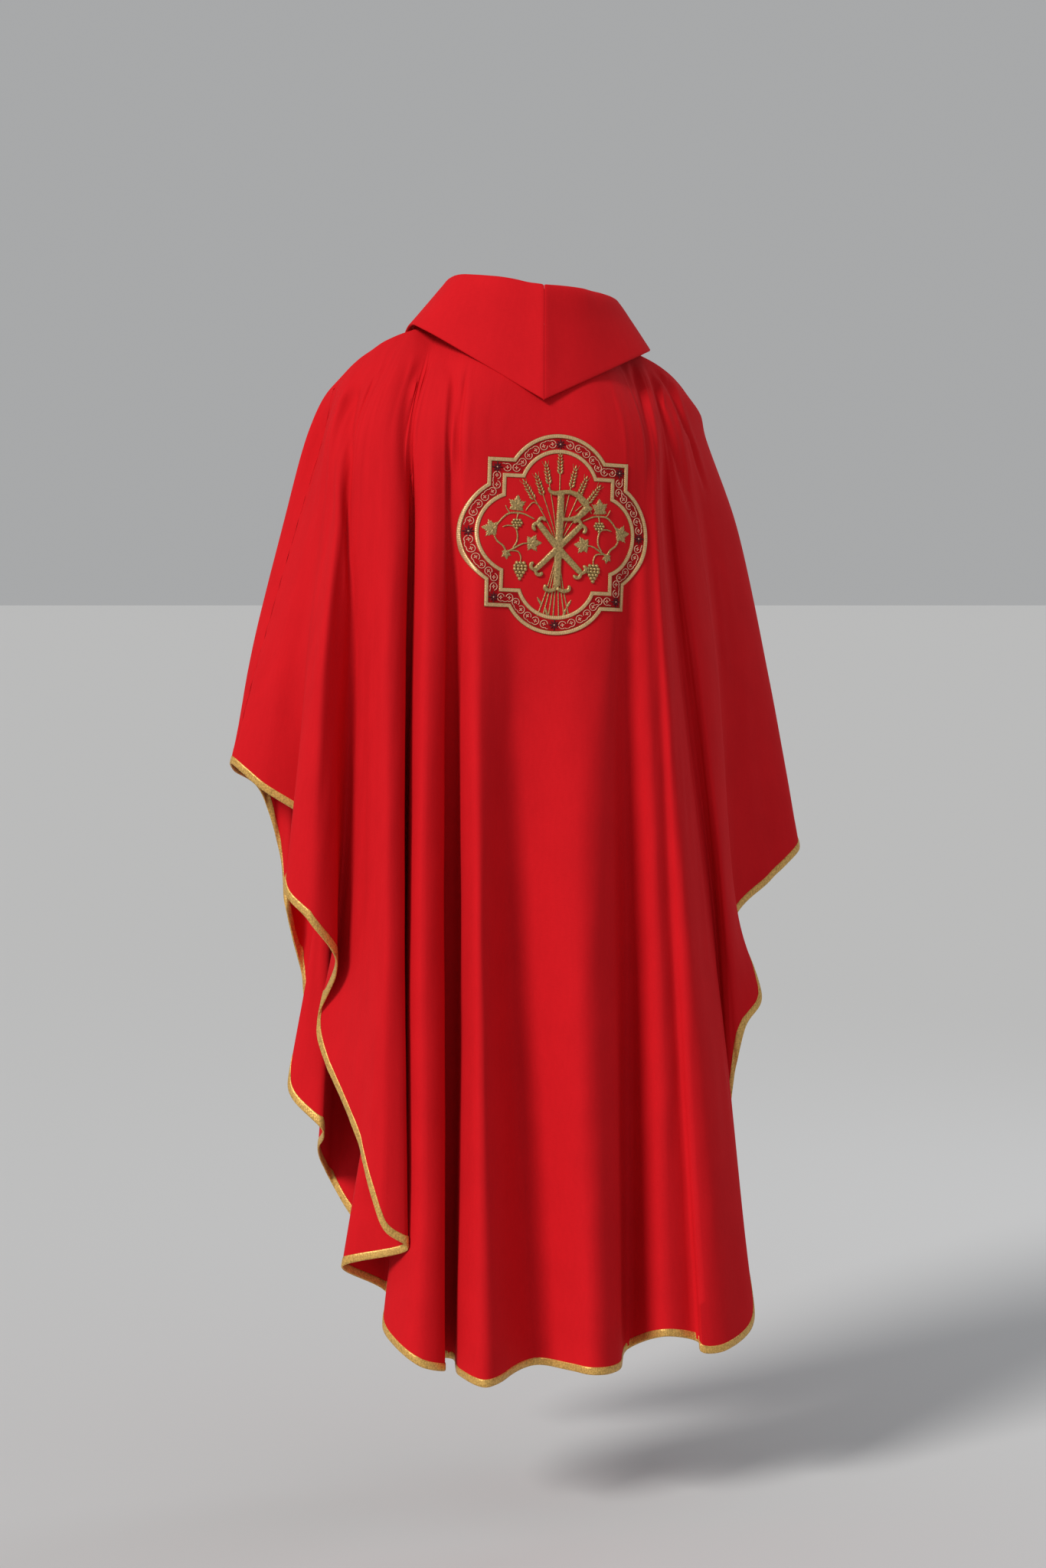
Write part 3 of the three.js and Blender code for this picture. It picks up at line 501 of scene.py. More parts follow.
def waves(tree, source, pitch, distortion=0.0, detail=0.0, axis="X"):
    """Ridges a set pitch apart, in the units of the source."""
    made = node(tree, "ShaderNodeTexWave", bands_direction=axis)
    made.inputs["Scale"].default_value = math.pi / 10 / pitch
    made.inputs["Distortion"].default_value = distortion
    made.inputs["Detail"].default_value = detail
    join(tree, source, made.inputs["Vector"])
    return made.outputs["Fac"]


def shared_group(name, inputs, outputs):
    """A node group with named sockets. Returns it with its input and output nodes."""
    group = bpy.data.node_groups.new(name, "ShaderNodeTree")
    for label, kind, value in inputs:
        socket = group.interface.new_socket(name=label, in_out="INPUT", socket_type=kind)
        if value is not None:
            socket.default_value = value
    for label, kind in outputs:
        group.interface.new_socket(name=label, in_out="OUTPUT", socket_type=kind)
    return group, node(group, "NodeGroupInput"), node(group, "NodeGroupOutput")


def weave_group():
    """Plain weave: fine threads both ways, uneven yarns, and a faint watered figure."""
    group, inside, outside = shared_group(
        "Plain weave",
        [("Vector", "NodeSocketVector", None), ("Yarn", "NodeSocketFloat", 0.5),
         ("Watering", "NodeSocketFloat", 0.1)],
        [("Tone", "NodeSocketFloat"), ("Height", "NodeSocketFloat")])
    flat = inside.outputs["Vector"]
    warp = waves(group, flat, 0.9 * MM, 0.4, 1.0, "X")
    weft = waves(group, flat, 0.8 * MM, 0.4, 1.0, "Y")
    cross = maths(group, "MULTIPLY", warp, weft)
    slub = noise(group, mapped(group, flat, (120, 900, 1)), 1.0, 3.0, 0.6)
    upright = noise(group, mapped(group, flat, (700, 60, 1)), 1.0, 2.0, 0.5)
    cloud = noise(group, flat, 14.0, 3.0, 0.55)
    figure = waves(group, flat, 11 * MM, 9.0, 1.5, "X")
    yarns = maths(group, "ADD", maths(group, "MULTIPLY", slub, 0.65),
                  maths(group, "MULTIPLY", upright, 0.35))
    uneven = maths(group, "MULTIPLY", yarns, inside.outputs["Yarn"])
    plain = maths(group, "MULTIPLY", cloud, maths(group, "SUBTRACT", 1.0, inside.outputs["Yarn"]))
    body = maths(group, "ADD", uneven, plain)
    watered = maths(group, "MULTIPLY", maths(group, "SUBTRACT", figure, 0.5),
                    inside.outputs["Watering"])
    join(group, maths(group, "ADD", body, watered), outside.inputs["Tone"])
    join(group, maths(group, "ADD", maths(group, "MULTIPLY", cross, 0.45),
                      maths(group, "MULTIPLY", yarns, 0.9)), outside.inputs["Height"])
    return group


def thread_group():
    """Metallic thread: stitches laid side by side, broken into bright and dull grains; its tone is
    lighter on the raised crests of stitches and grains and at fine specks, as painted highlights and
    glints.
    """
    group, inside, outside = shared_group(
        "Metallic thread",
        [("Vector", "NodeSocketVector", None), ("Place", "NodeSocketVector", None),
         ("Grains", "NodeSocketFloat", 900.0), ("Stitch", "NodeSocketFloat", 0.5)],
        [("Tone", "NodeSocketFloat"), ("Height", "NodeSocketFloat")])
    cells = node(group, "ShaderNodeTexVoronoi", feature="F1")
    join(group, inside.outputs["Place"], cells.inputs["Vector"])
    join(group, inside.outputs["Grains"], cells.inputs["Scale"])
    grain = maths(group, "SUBTRACT", 1.0, cells.outputs["Distance"])
    laid = waves(group, inside.outputs["Vector"], 1.0, 1.2, 1.0, "X")
    wear = noise(group, inside.outputs["Place"], 160.0, 3.0, 0.6)
    # Fine specks that lighten the thread's colour: painted glints.
    painted_glint = noise(group, inside.outputs["Place"], 1400.0, 1.0, 0.5)
    stitched = maths(group, "MULTIPLY", laid, inside.outputs["Stitch"])
    rest = maths(group, "MULTIPLY", grain, maths(group, "SUBTRACT", 1.0, inside.outputs["Stitch"]))
    height = maths(group, "ADD", stitched, rest)
    join(group, height, outside.inputs["Height"])
    # Painted highlight: the tone follows the height, so stitch and grain crests come out lighter, and
    # the painted glints are added to the random wear.
    tone = maths(group, "ADD", maths(group, "MULTIPLY", height, 0.55),
                 maths(group, "MULTIPLY", maths(group, "ADD", wear, painted_glint), 0.28))
    join(group, maths(group, "SUBTRACT", tone, 0.05), outside.inputs["Tone"])
    return group


def new_material(name):
    made = bpy.data.materials.new(name)
    made.use_nodes = True
    tree = made.node_tree
    shader = tree.nodes["Principled BSDF"]
    return made, tree, shader


def graded(tree, tone, dark, light, low, high):
    """A colour that runs from dark to light as the tone rises from low to high."""
    spread = node(tree, "ShaderNodeMapRange")
    spread.inputs["From Min"].default_value = low
    spread.inputs["From Max"].default_value = high
    join(tree, tone, spread.inputs["Value"])
    mix = node(tree, "ShaderNodeMix", data_type="RGBA")
    mix.inputs["A"].default_value = (*dark, 1)
    mix.inputs["B"].default_value = (*light, 1)
    join(tree, spread.outputs["Result"], mix.inputs["Factor"])
    return mix.outputs["Result"]


def bumped(tree, height, strength, distance, shader):
    bump = node(tree, "ShaderNodeBump")
    bump.inputs["Strength"].default_value = strength
    bump.inputs["Distance"].default_value = distance
    join(tree, height, bump.inputs["Height"])
    join(tree, bump.outputs["Normal"], shader.inputs["Normal"])


def cloth_material(name, colour, yarn, watering, sheen, rough):
    made, tree, shader = new_material(name)
    place = node(tree, "ShaderNodeTexCoord")
    weave = node(tree, "ShaderNodeGroup", node_tree=GROUPS["weave"])
    weave.inputs["Yarn"].default_value = yarn
    weave.inputs["Watering"].default_value = watering
    join(tree, place.outputs["UV"], weave.inputs["Vector"])
    dark = [0.88 * c for c in colour]
    light = [min(1.0, 1.08 * c + 0.001) for c in colour]
    join(tree, graded(tree, weave.outputs["Tone"], dark, light, 0.25, 0.75),
         shader.inputs["Base Color"])
    shader.inputs["Roughness"].default_value = rough
    shader.inputs["Specular IOR Level"].default_value = 0.08
    shader.inputs["Sheen Weight"].default_value = sheen
    shader.inputs["Sheen Roughness"].default_value = 0.45
    shader.inputs["Sheen Tint"].default_value = (*[min(1, 1.2 * c + 0.03) for c in colour], 1)
    bumped(tree, weave.outputs["Height"], 0.35, 0.25 * MM, shader)
    return made


def thread_material(name, colour, grains, stitch, pitch, metal, rough, edge=None, bump=0.6,
                    gleam=0.5):
    """Metallic embroidery. Where a border width is given, the width of its flat map darkens to brown at
    both edges: partly the thread's fine brown outlines, partly painted shade where the domed satin turns
    away from the light.
    """
    made, tree, shader = new_material(name)
    place = node(tree, "ShaderNodeTexCoord")
    thread = node(tree, "ShaderNodeGroup", node_tree=GROUPS["thread"])
    thread.inputs["Grains"].default_value = grains
    thread.inputs["Stitch"].default_value = stitch
    join(tree, mapped(tree, place.outputs["UV"], (1 / pitch, 1 / pitch, 1)),
         thread.inputs["Vector"])
    join(tree, place.outputs["Object"], thread.inputs["Place"])
    dark = [0.42 * c for c in colour]
    light = [min(1.0, 1.25 * c + 0.03) for c in colour]
    # The tone, painted highlights and glints included, runs the colour from dark to light.
    shade = graded(tree, thread.outputs["Tone"], dark, light, 0.2, 0.85)
    if edge is not None:
        # Painted shade, in part: both edges of the satin go dark brown, standing for the fine brown
        # outline threads together with the shade where the domed satin turns away.
        split = node(tree, "ShaderNodeSeparateXYZ")
        join(tree, place.outputs["UV"], split.inputs["Vector"])
        middle = maths(tree, "ABSOLUTE", maths(tree, "SUBTRACT", split.outputs["Y"], 0.5 * edge))
        rim = node(tree, "ShaderNodeMapRange", interpolation_type="SMOOTHSTEP")
        rim.inputs["From Min"].default_value = 0.30 * edge
        rim.inputs["From Max"].default_value = 0.52 * edge
        join(tree, middle, rim.inputs["Value"])
        mix = node(tree, "ShaderNodeMix", data_type="RGBA")
        mix.inputs["B"].default_value = (0.23, 0.115, 0.03, 1)
        join(tree, shade, mix.inputs["A"])
        join(tree, rim.outputs["Result"], mix.inputs["Factor"])
        shade = mix.outputs["Result"]
    join(tree, shade, shader.inputs["Base Color"])
    shader.inputs["Metallic"].default_value = metal
    shader.inputs["Specular IOR Level"].default_value = gleam
    shine = node(tree, "ShaderNodeMapRange")
    shine.inputs["To Min"].default_value = min(1.0, rough + 0.16)
    shine.inputs["To Max"].default_value = max(0.1, rough - 0.08)
    join(tree, thread.outputs["Tone"], shine.inputs["Value"])
    join(tree, shine.outputs["Result"], shader.inputs["Roughness"])
    bumped(tree, thread.outputs["Height"], bump, 0.35 * MM, shader)
    return made


GROUPS = {}
FINISH = {}


def make_finishes():
    colours = bpy.context.scene.chasuble_colours
    GROUPS.update(weave=weave_group(), thread=thread_group())
    FINISH.update(
        red=cloth_material("Red cloth", colours.red, 0.55, 0.035, 0.06, 0.85),
        ground=cloth_material("Medallion ground", colours.red, 0.35, 0.03, 0.10, 0.66),
        facing=cloth_material("Facing cloth", colours.facing, 0.6, 0.0, 0.15, 0.85),
        canvas=cloth_material("Canvas", colours.canvas, 0.7, 0.0, 0.1, 0.9),
        band=cloth_material("Band ground", [0.58 * c for c in colours.red], 0.6, 0.0, 0.06, 0.8),
        braid=thread_material("Gold braid", colours.braid, 420.0, 0.25, 2.4 * MM, 0.45, 0.42,
                              bump=0.8),
        gold=thread_material("Pale gold satin", colours.gold, 620.0, 0.5, 1.6 * MM, 0.5, 0.36,
                             edge=bpy.context.scene.chasuble_emblem.border_width, bump=0.7),
        old_gold=thread_material("Old gold", colours.old_gold, 470.0, 0.05, 1.0 * MM, 0.6, 0.42,
                                 bump=1.0),
        rose_gold=thread_material("Rose gold", colours.rose_gold, 1200.0, 0.4, 0.8 * MM, 0.2, 0.5),
        maroon=thread_material("Maroon thread", colours.maroon, 1100.0, 0.4, 0.8 * MM, 0.0, 0.9,
                               gleam=0.1))


# ------------------------------------------------------------------ the two panels and their hem
PIECES = {}
SPREADS = {}
EDGE_STEPS = np.array([0.2, 1.0, 2.0, 3.5, 6.0]) * MM


def with_edges(total, count, both=True):
    """Even steps over a length, with fine ones at its ends where a seam turns in."""
    inner = np.linspace(EDGE_STEPS[-1], total - (EDGE_STEPS[-1] if both else 0),
                        count - len(EDGE_STEPS) * (2 if both else 1) + 2)
    tail = [total - EDGE_STEPS[:-1][::-1]] if both else []
    return np.concatenate([EDGE_STEPS[:-1], inner, *tail])


def panel_span(name):
    return (0, SEAM_RIGHT) if name == "back" else (SEAM_RIGHT, len(RING))


# Small folds pressed into the back below the shoulders: where each one runs, as [u, v] on the
# draped surface, how deep and how wide it is in millimetres, and over which v it fades in and out.
SMALL_FOLDS = [
    ([(2.9, 0.095), (3.75, 0.16), (4.7, 0.24), (5.35, 0.34), (5.7, 0.44)], 9.0, 11.0,
     (0.085, 0.125), (0.28, 0.44)),
    ([(9.25, 0.047), (8.46, 0.096), (8.8, 0.155), (9.25, 0.262)], 6.0, 9.0,
     (0.045, 0.085), (0.15, 0.27)),
    ([(14.1, 0.066), (16.05, 0.129), (15.8, 0.171), (14.95, 0.228)], 7.0, 12.0,
     (0.055, 0.11), (0.19, 0.32)),
    ([(26.4, 0.03), (25.6, 0.083), (24.7, 0.135), (24.4, 0.2)], 4.5, 8.0,
     (0.02, 0.055), (0.12, 0.22)),
    ([(28.0, 0.019), (28.6, 0.099), (29.6, 0.176), (30.0, 0.265)], 4.5, 8.0,
     (0.016, 0.05), (0.17, 0.29)),
    ([(28.9, 0.01), (30.2, 0.071), (31.5, 0.136), (31.7, 0.233)], 4.0, 8.0,
     (0.01, 0.04), (0.14, 0.25)),
]


def small_folds(s, u, v, places, run):
    """Heights of the small folds: a groove with a soft ridge on each side."""
    height = np.zeros_like(v)
    low, high = np.clip(u - 0.1, 0, len(RING)), u + 0.1
    spread = np.linalg.norm(drape(high, v) - drape(low, v), axis=-1) / np.maximum(
        np.interp(high, places, run) - np.interp(low, places, run), 1e-6)
    for path, depth, wide, rise, fall in SMALL_FOLDS:
        path = np.array(path)
        off = s - np.interp(np.interp(v, path[:, 1], path[:, 0]), places, run)
        off = off * np.minimum(spread, 1) / (wide * MM)
        share = fade(v - rise[0], rise[1] - rise[0]) * (1 - fade(v - fall[0], fall[1] - fall[0]))
        height += depth * MM * share * (0.22 * np.exp(-((np.abs(off) - 2.2) / 1.4) ** 2)
                                        - np.exp(-off**2))
    return height


def onto_back_edge(u, down):
    """Shifts that bring the front's top edge onto the back's, along the shoulders."""
    edge = drape(np.linspace(0, SEAM_RIGHT, 1201), 0.0)
    edge = edge[np.abs(edge[:, 0]) > 0.1]
    edge = edge[np.argsort(edge[:, 0])]
    top = drape(u, 0.0 * down)
    shift = np.zeros_like(top)
    for axis in (1, 2):
        shift[..., axis] = np.interp(top[..., 0], edge[:, 0], edge[:, axis]) - top[..., axis]
    share = (1 - fade(down, 35 * MM)) * fade(np.abs(top[..., 0]) - 0.105, 5 * MM)
    return shift * share[..., None]


def panel_surface(name, u, v):
    """Points and outward directions of a panel with its ripples, at any u and v."""
    cloth = bpy.context.scene.chasuble_cloth
    emblem = bpy.context.scene.chasuble_emblem if name == "back" else None
    places, run = SPREADS[name]
    s = np.interp(u, places, run)
    points, outward = drape(u, v), facing(u, v)
    down = v * guide_length(u)
    to_seam = np.minimum(s, run[-1] - s)
    height = ripples(s, down, points, 11 if name == "back" else 47, cloth.ripple, emblem)
    height = height * fade(to_seam, 30 * MM) * fade(down - 25 * MM, 110 * MM)
    height = height * (0.45 + 0.55 * fade(down - 150 * MM, 450 * MM))
    if name == "back":
        far = np.hypot(points[..., 0] - emblem.aside, points[..., 2] - emblem.height_above)
        height = height + small_folds(s, u, v, places, run) * fade(
            far - 0.5 * emblem.width, 35 * MM)
    else:
        points = points + onto_back_edge(u, down)
    pucker = 0.35 * MM * np.sin(down / (5.5 * MM) + 2.0 * value_noise(down / 0.02, s / 0.5, 5))
    height = height + pucker * fade(down, 10 * MM) * np.exp(-to_seam / (7 * MM))
    turned_in = np.maximum(0, 1 - to_seam / (5 * MM)) ** 2 + np.where(
        np.abs(drape(u, 0.0 * v)[..., 0]) > 0.104, np.maximum(0, 1 - down / (5 * MM)) ** 2, 0)
    height = height - 0.9 * MM * np.minimum(turned_in, 1)
    return points + outward * height[..., None], outward


# About the length of a panel in metres, which turns the close steps by the top edge into shares.
PANEL_LENGTH = 1.3


def make_panel(name, flat, area):
    cloth = bpy.context.scene.chasuble_cloth
    first, last = panel_span(name)
    places, run = across(first, last, 900)
    SPREADS[name] = (places, run)
    s = with_edges(run[-1], cloth.columns)
    u = np.clip(np.interp(s, run, places), first + 1e-6, last - 1e-6)
    end = above_hem(u, 0.4 * cloth.braid_width)
    shares = with_edges(1.0, cloth.rows, both=False)
    shares = np.where(shares < 7 * MM, shares / PANEL_LENGTH, shares)
    v = end[None, :] * shares[:, None]
    uu = np.broadcast_to(u, v.shape)
    points, _ = panel_surface(name, uu, v)
    flat_map = np.stack([np.broadcast_to(s, v.shape), v * guide_length(uu)], axis=-1)
    piece = grid_piece(f"{name}_panel_cloth", points[:, ::-1], flat_map[:, ::-1])
    apply_modifier(piece, "SOLIDIFY", thickness=cloth.thickness, offset=-1.0, use_rim=True)
    finish_piece(piece, FINISH["red"], [f"{name}_panel"], angle=80)
    PIECES[f"{name}_panel"] = piece
    PIECES[f"{name}_flat"] = (flat, area)
    return piece


# The braid's outline: distance above the hem, and height over the cloth, both in millimetres.
BRAID_OUTER = [(11.2, 0.05), (10.6, 0.62), (8.6, 0.80), (5.6, 0.86), (2.6, 0.80), (0.6, 0.55)]
BRAID_FOLD = [(-0.25, -0.6)]


def braid_profile(thickness, width):
    """Round the hem: up the outside, over the edge and up the inside."""
    scale = width / (11 * MM)
    outer = [(d * MM * scale, h * MM) for d, h in BRAID_OUTER]
    fold = [(d * MM, h * MM) for d, h in BRAID_FOLD]
    inner = [(d, -thickness - h) for d, h in reversed(outer)]
    return outer + fold + inner


def make_braid(name):
    cloth = bpy.context.scene.chasuble_cloth
    places, run = SPREADS[name]
    u = np.interp(np.linspace(0.3 * MM, run[-1] - 0.3 * MM, 760), run, places)
    hem = drape(u, 1.0)
    along = np.concatenate([[0], np.cumsum(np.linalg.norm(np.diff(hem, axis=0), axis=1))])
    rows, maps, wide = [], [], 0.0
    profile = braid_profile(cloth.thickness, cloth.braid_width)
    for k, (distance, height) in enumerate(profile + profile[:1]):
        v = above_hem(u, max(distance, 0.0))
        points, outward = panel_surface(name, u, np.minimum(v, 1.0))
        if distance < 0:
            points = points + unit(drape(u, 1.0) - drape(u, 0.98)) * -distance
        rows.append(points + outward * height)
        if k:
            wide += np.linalg.norm(rows[-1] - rows[-2], axis=-1).mean()
        maps.append(np.stack([along, np.full_like(along, wide)], axis=-1))
    points, flat_map = np.array(rows), np.array(maps)
    piece = grid_piece(f"{name}_hem_braid", points[:, ::-1], flat_map[:, ::-1])
    weld(piece)
    finish_piece(piece, FINISH["braid"], [f"hem_braid_{name}"], angle=50)
    PIECES[f"{name}_braid"] = piece


FACING_REACH = 127 * MM  # how far out along the shoulders
FACING_INSET, FACING_DEPTH = 2 * MM, 38 * MM  # below the panel's top edge
FACING_THICK, FACING_CLEARANCE = 0.7 * MM, 0.5 * MM


def make_facing(name):
    cloth = bpy.context.scene.chasuble_cloth
    places, run = SPREADS[name]
    u = np.interp(np.linspace(0, run[-1], 700), run, places)[1:-1]
    u = u[np.abs(drape(u, 0.0)[:, 0]) < FACING_REACH]
    t = np.linspace(FACING_INSET, FACING_DEPTH, 14)[:, None]
    v = t / guide_length(u)[None, :]
    uu = np.broadcast_to(u, v.shape)
    points, outward = drape(uu, v), facing(uu, v)
    points = points - outward * (cloth.thickness + FACING_CLEARANCE)
    flat_map = np.stack([np.interp(uu, places, run), np.broadcast_to(t, v.shape)], axis=-1)
    piece = grid_piece(f"{name}_neck_facing", points[:, ::-1], flat_map[:, ::-1])
    apply_modifier(piece, "SOLIDIFY", thickness=FACING_THICK, offset=-1.0, use_rim=True)
    finish_piece(piece, FINISH["facing"], [f"neck_facing_{name}"])
    PIECES[f"{name}_facing"] = piece


# ------------------------------------------------------------------ the collar
NECK_HALF_WIDTH = 107 * MM
NECK_AXIS_Y = 5 * MM
COLLAR_THICK = 3.5 * MM  # all its layers together
INTERFACING, LAYER_GAP = 0.5 * MM, 0.3 * MM


def neckline():
    """Bearings and points of the panels' top edges round the neck."""
    u = np.linspace(0, len(RING), 1600, endpoint=False)
    points = drape(u, 0.0)
    points = points[np.abs(points[:, 0]) < NECK_HALF_WIDTH]
    bearing = np.arctan2(points[:, 0], points[:, 1] - NECK_AXIS_Y)
    order = np.argsort(bearing)
    return bearing[order], points[order]


def on_neckline(points):
    bearing, edge = neckline()
    at = np.arctan2(points[:, 0], points[:, 1] - NECK_AXIS_Y)
    return np.stack([np.interp(at, bearing, edge[:, k], period=2 * np.pi) for k in range(3)],
                    axis=-1)


def collar_sheet(stations, side, rim):
    """The collar's face: rows from the neckline over the rim to the lower edge."""
    stations = np.array(stations, float) * MM
    places = np.linspace(0, 1, 73)
    places = np.concatenate([[0, 0.0015, 0.003, 0.006], places[1:-1], [0.996, 0.998, 1]])
    profile = []
    for neck, top, edge in stations:
        out = unit(np.array([edge[0] - neck[0], edge[1] - neck[1], 0]))
        neck = neck + (0, 0, 0.3 * MM)
        inner = top - out * rim - (0, 0, 1.2 * rim)
        outer = top + out * rim - (0, 0, rim)
        fall = [outer + (edge - outer) * k / 3 for k in (1, 2, 3)]
        profile.append([neck, 0.5 * (neck + inner), inner, top, outer, *fall])
    profile = np.array(profile)
    lines = np.array([on_line(profile[:, row], places) for row in range(profile.shape[1])])
    lines[0] = on_neckline(lines[0]) + (0, 0, 0.9 * MM)
    rows = np.linspace(0, 1, 57)
    sheet = np.array([on_line(lines[:, c], rows) for c in range(lines.shape[1])])
    sheet = sheet.transpose(1, 0, 2)
    sheet[..., 0] += side * 0.45 * MM
    return sheet


def grid_normals(grid, sign):
    across_rows = np.gradient(grid, axis=1)
    down_rows = np.gradient(grid, axis=0)
    return unit(np.cross(down_rows, across_rows)) * sign


def make_collar(side_name, stations, side):
    cloth = bpy.context.scene.chasuble_cloth
    sheet = collar_sheet(stations, side, cloth.rim_radius)
    normals = grid_normals(sheet, -side)
    run = np.concatenate([np.zeros((1, sheet.shape[1])), np.cumsum(
        np.linalg.norm(np.diff(sheet, axis=0), axis=-1), axis=0)])
    long = np.concatenate([[0], np.cumsum(np.linalg.norm(np.diff(sheet[30], axis=0), axis=1))])
    total = long[-1]
    to_seam = np.minimum(long, total - long)
    soft = value_noise(long[None, :] / 0.055, run / 0.07, 71 + side) * 1.1 * MM
    soft = soft + value_noise(long[None, :] / 0.02, run / 0.05, 75 + side) * 0.35 * MM
    soft = soft * fade(run, 40 * MM) * fade(to_seam, 25 * MM)[None, :]
    groove = -1.0 * MM * np.maximum(0, 1 - to_seam / (3.5 * MM))[None, :] ** 2
    sheet = sheet + normals * (soft + groove)[..., None]

    # The face turns under at the lower edge and ends on the underside.
    down = unit(sheet[-1] - sheet[-2])
    turned = []
    for angle in np.linspace(0, math.pi, 8)[1:]:
        turned.append(sheet[-1] + down * math.sin(angle) * COLLAR_THICK / 2
                      - normals[-1] * (1 - math.cos(angle)) * COLLAR_THICK / 2)
    for rise in (2, 4, 7, 10):
        turned.append(sheet[-1] - normals[-1] * COLLAR_THICK - down * rise * MM)
    face = np.vstack([sheet, np.array(turned)])
    face_run = np.vstack([run, run[-1] + np.linspace(0.7, 15, len(turned))[:, None] * MM])
    layers = [
        ("collar", face, face_run, 0.0, cloth.thickness, "red", "red_cloth"),
        ("collar_interfacing", sheet[:-2], run[:-2], -cloth.thickness - LAYER_GAP, INTERFACING,
         "canvas", "white_interfacing"),
        ("undercollar", sheet[:-6], run[:-6], -COLLAR_THICK + cloth.thickness, cloth.thickness,
         "red", "red_cloth"),
    ]
    for layer, grid, distances, offset, thickness, finish, slot in layers:
        rows = len(grid)
        shift = normals[:rows] * offset if offset else 0
        points = grid + shift
        flat_map = np.stack([np.broadcast_to(long, distances.shape), distances], axis=-1)
        if layer != "collar":
            points, flat_map = points[1:, 3:-3], flat_map[1:, 3:-3]
        if layer == "collar_interfacing":
            points, flat_map = points[6:, 2:-2], flat_map[6:, 2:-2]
        if side < 0:
            points, flat_map = points[:, ::-1], flat_map[:, ::-1]
        piece = grid_piece(f"{layer}_cloth_{side_name}", points, flat_map)
        apply_modifier(piece, "SOLIDIFY", thickness=thickness, offset=-1.0, use_rim=True)
        finish_piece(piece, FINISH[finish], [f"{layer}_{side_name}"], angle=75)
        PIECES[f"{layer}_{side_name}"] = piece


# ------------------------------------------------------------------ embroidery, drawn flat in mm
# The flat drawing has x to the right and y up, as seen from behind the wearer.
ON_GROUND = 0.62
BACK_FIELD = {}


def measure_back():
    """Heights of the back panel's outer face behind the medallion, on an even field."""
    emblem = bpy.context.scene.chasuble_emblem
    tree = BVHTree.FromObject(PIECES["back_panel"], bpy.context.evaluated_depsgraph_get())
    half, step = 0.62 * emblem.width, 2 * MM
    xs = np.arange(-half, half + step, step)
    zs = emblem.height_above + xs
    field = np.zeros((len(zs), len(xs)))
    for j, z in enumerate(zs):
        for i, x in enumerate(xs):
            hit = tree.ray_cast(Vector((x, 0.5, z)), Vector((0, -1, 0)))[0]
            field[j, i] = hit.y if hit is not None else np.nan
    field = np.where(np.isnan(field), np.nanmean(field), field)
    BACK_FIELD.update(field=field, start=-half, step=step, centre=emblem.height_above)


def on_back(x, z):
    """Height of the back and its slopes at places given in metres."""
    field, step = BACK_FIELD["field"], BACK_FIELD["step"]
    i = np.clip((x - BACK_FIELD["start"]) / step, 0, field.shape[1] - 1.001)
    j = np.clip((z - BACK_FIELD["centre"] - BACK_FIELD["start"]) / step, 0,
                field.shape[0] - 1.001)
    a, b = i.astype(int), j.astype(int)
    s, t = i - a, j - b
    return ((field[b, a] * (1 - s) + field[b, a + 1] * s) * (1 - t)
            + (field[b + 1, a] * (1 - s) + field[b + 1, a + 1] * s) * t)


def laid(points):
    """Lays flat points [x, y, height] in millimetres on the back."""
    emblem = bpy.context.scene.chasuble_emblem
    scale = emblem.width / (250 * MM) * MM
    turn = emblem.tilt
    x, y, h = points[:, 0] * scale, points[:, 1] * scale, points[:, 2] * MM
    gx = emblem.aside - (x * math.cos(turn) - y * math.sin(turn))
    gz = emblem.height_above + x * math.sin(turn) + y * math.cos(turn)
    d = 3 * MM
    rise_x = (on_back(gx + d, gz) - on_back(gx - d, gz)) / (2 * d)
    rise_z = (on_back(gx, gz + d) - on_back(gx, gz - d)) / (2 * d)
    outward = unit(np.stack([-rise_x, np.ones_like(gx), -rise_z], axis=-1))
    return np.stack([gx, on_back(gx, gz), gz], axis=-1) + outward * h[:, None]


def flat_uv(points):
    return points[:, :2] * MM


def stitched(name, parts, finish, slot, replaces, uvs=None, angle=60, remesh=None):
    """One embroidered piece from flat parts, laid on the back."""
    placed = [(laid(p) if remesh is None else p * MM, f) for p, f in parts]
    uvs = uvs if uvs is not None else [flat_uv(p) for p, _ in parts]
    piece = gathered(name, placed, None if remesh else uvs)
    if remesh:
        apply_modifier(piece, "REMESH", mode="VOXEL", voxel_size=remesh, adaptivity=0.0)
        apply_modifier(piece, "SMOOTH", factor=0.5, iterations=6)
        points = np.array([v.co for v in piece.data.vertices], float) / MM
        piece.data.vertices.foreach_set("co", laid(points).astype(np.float32).ravel())
        write_uv(piece.data, flat_uv(points))
    weld(piece, 1e-6, fill=False)
    finish_piece(piece, FINISH[finish], replaces, angle=angle)
    PIECES[name] = piece
    return piece


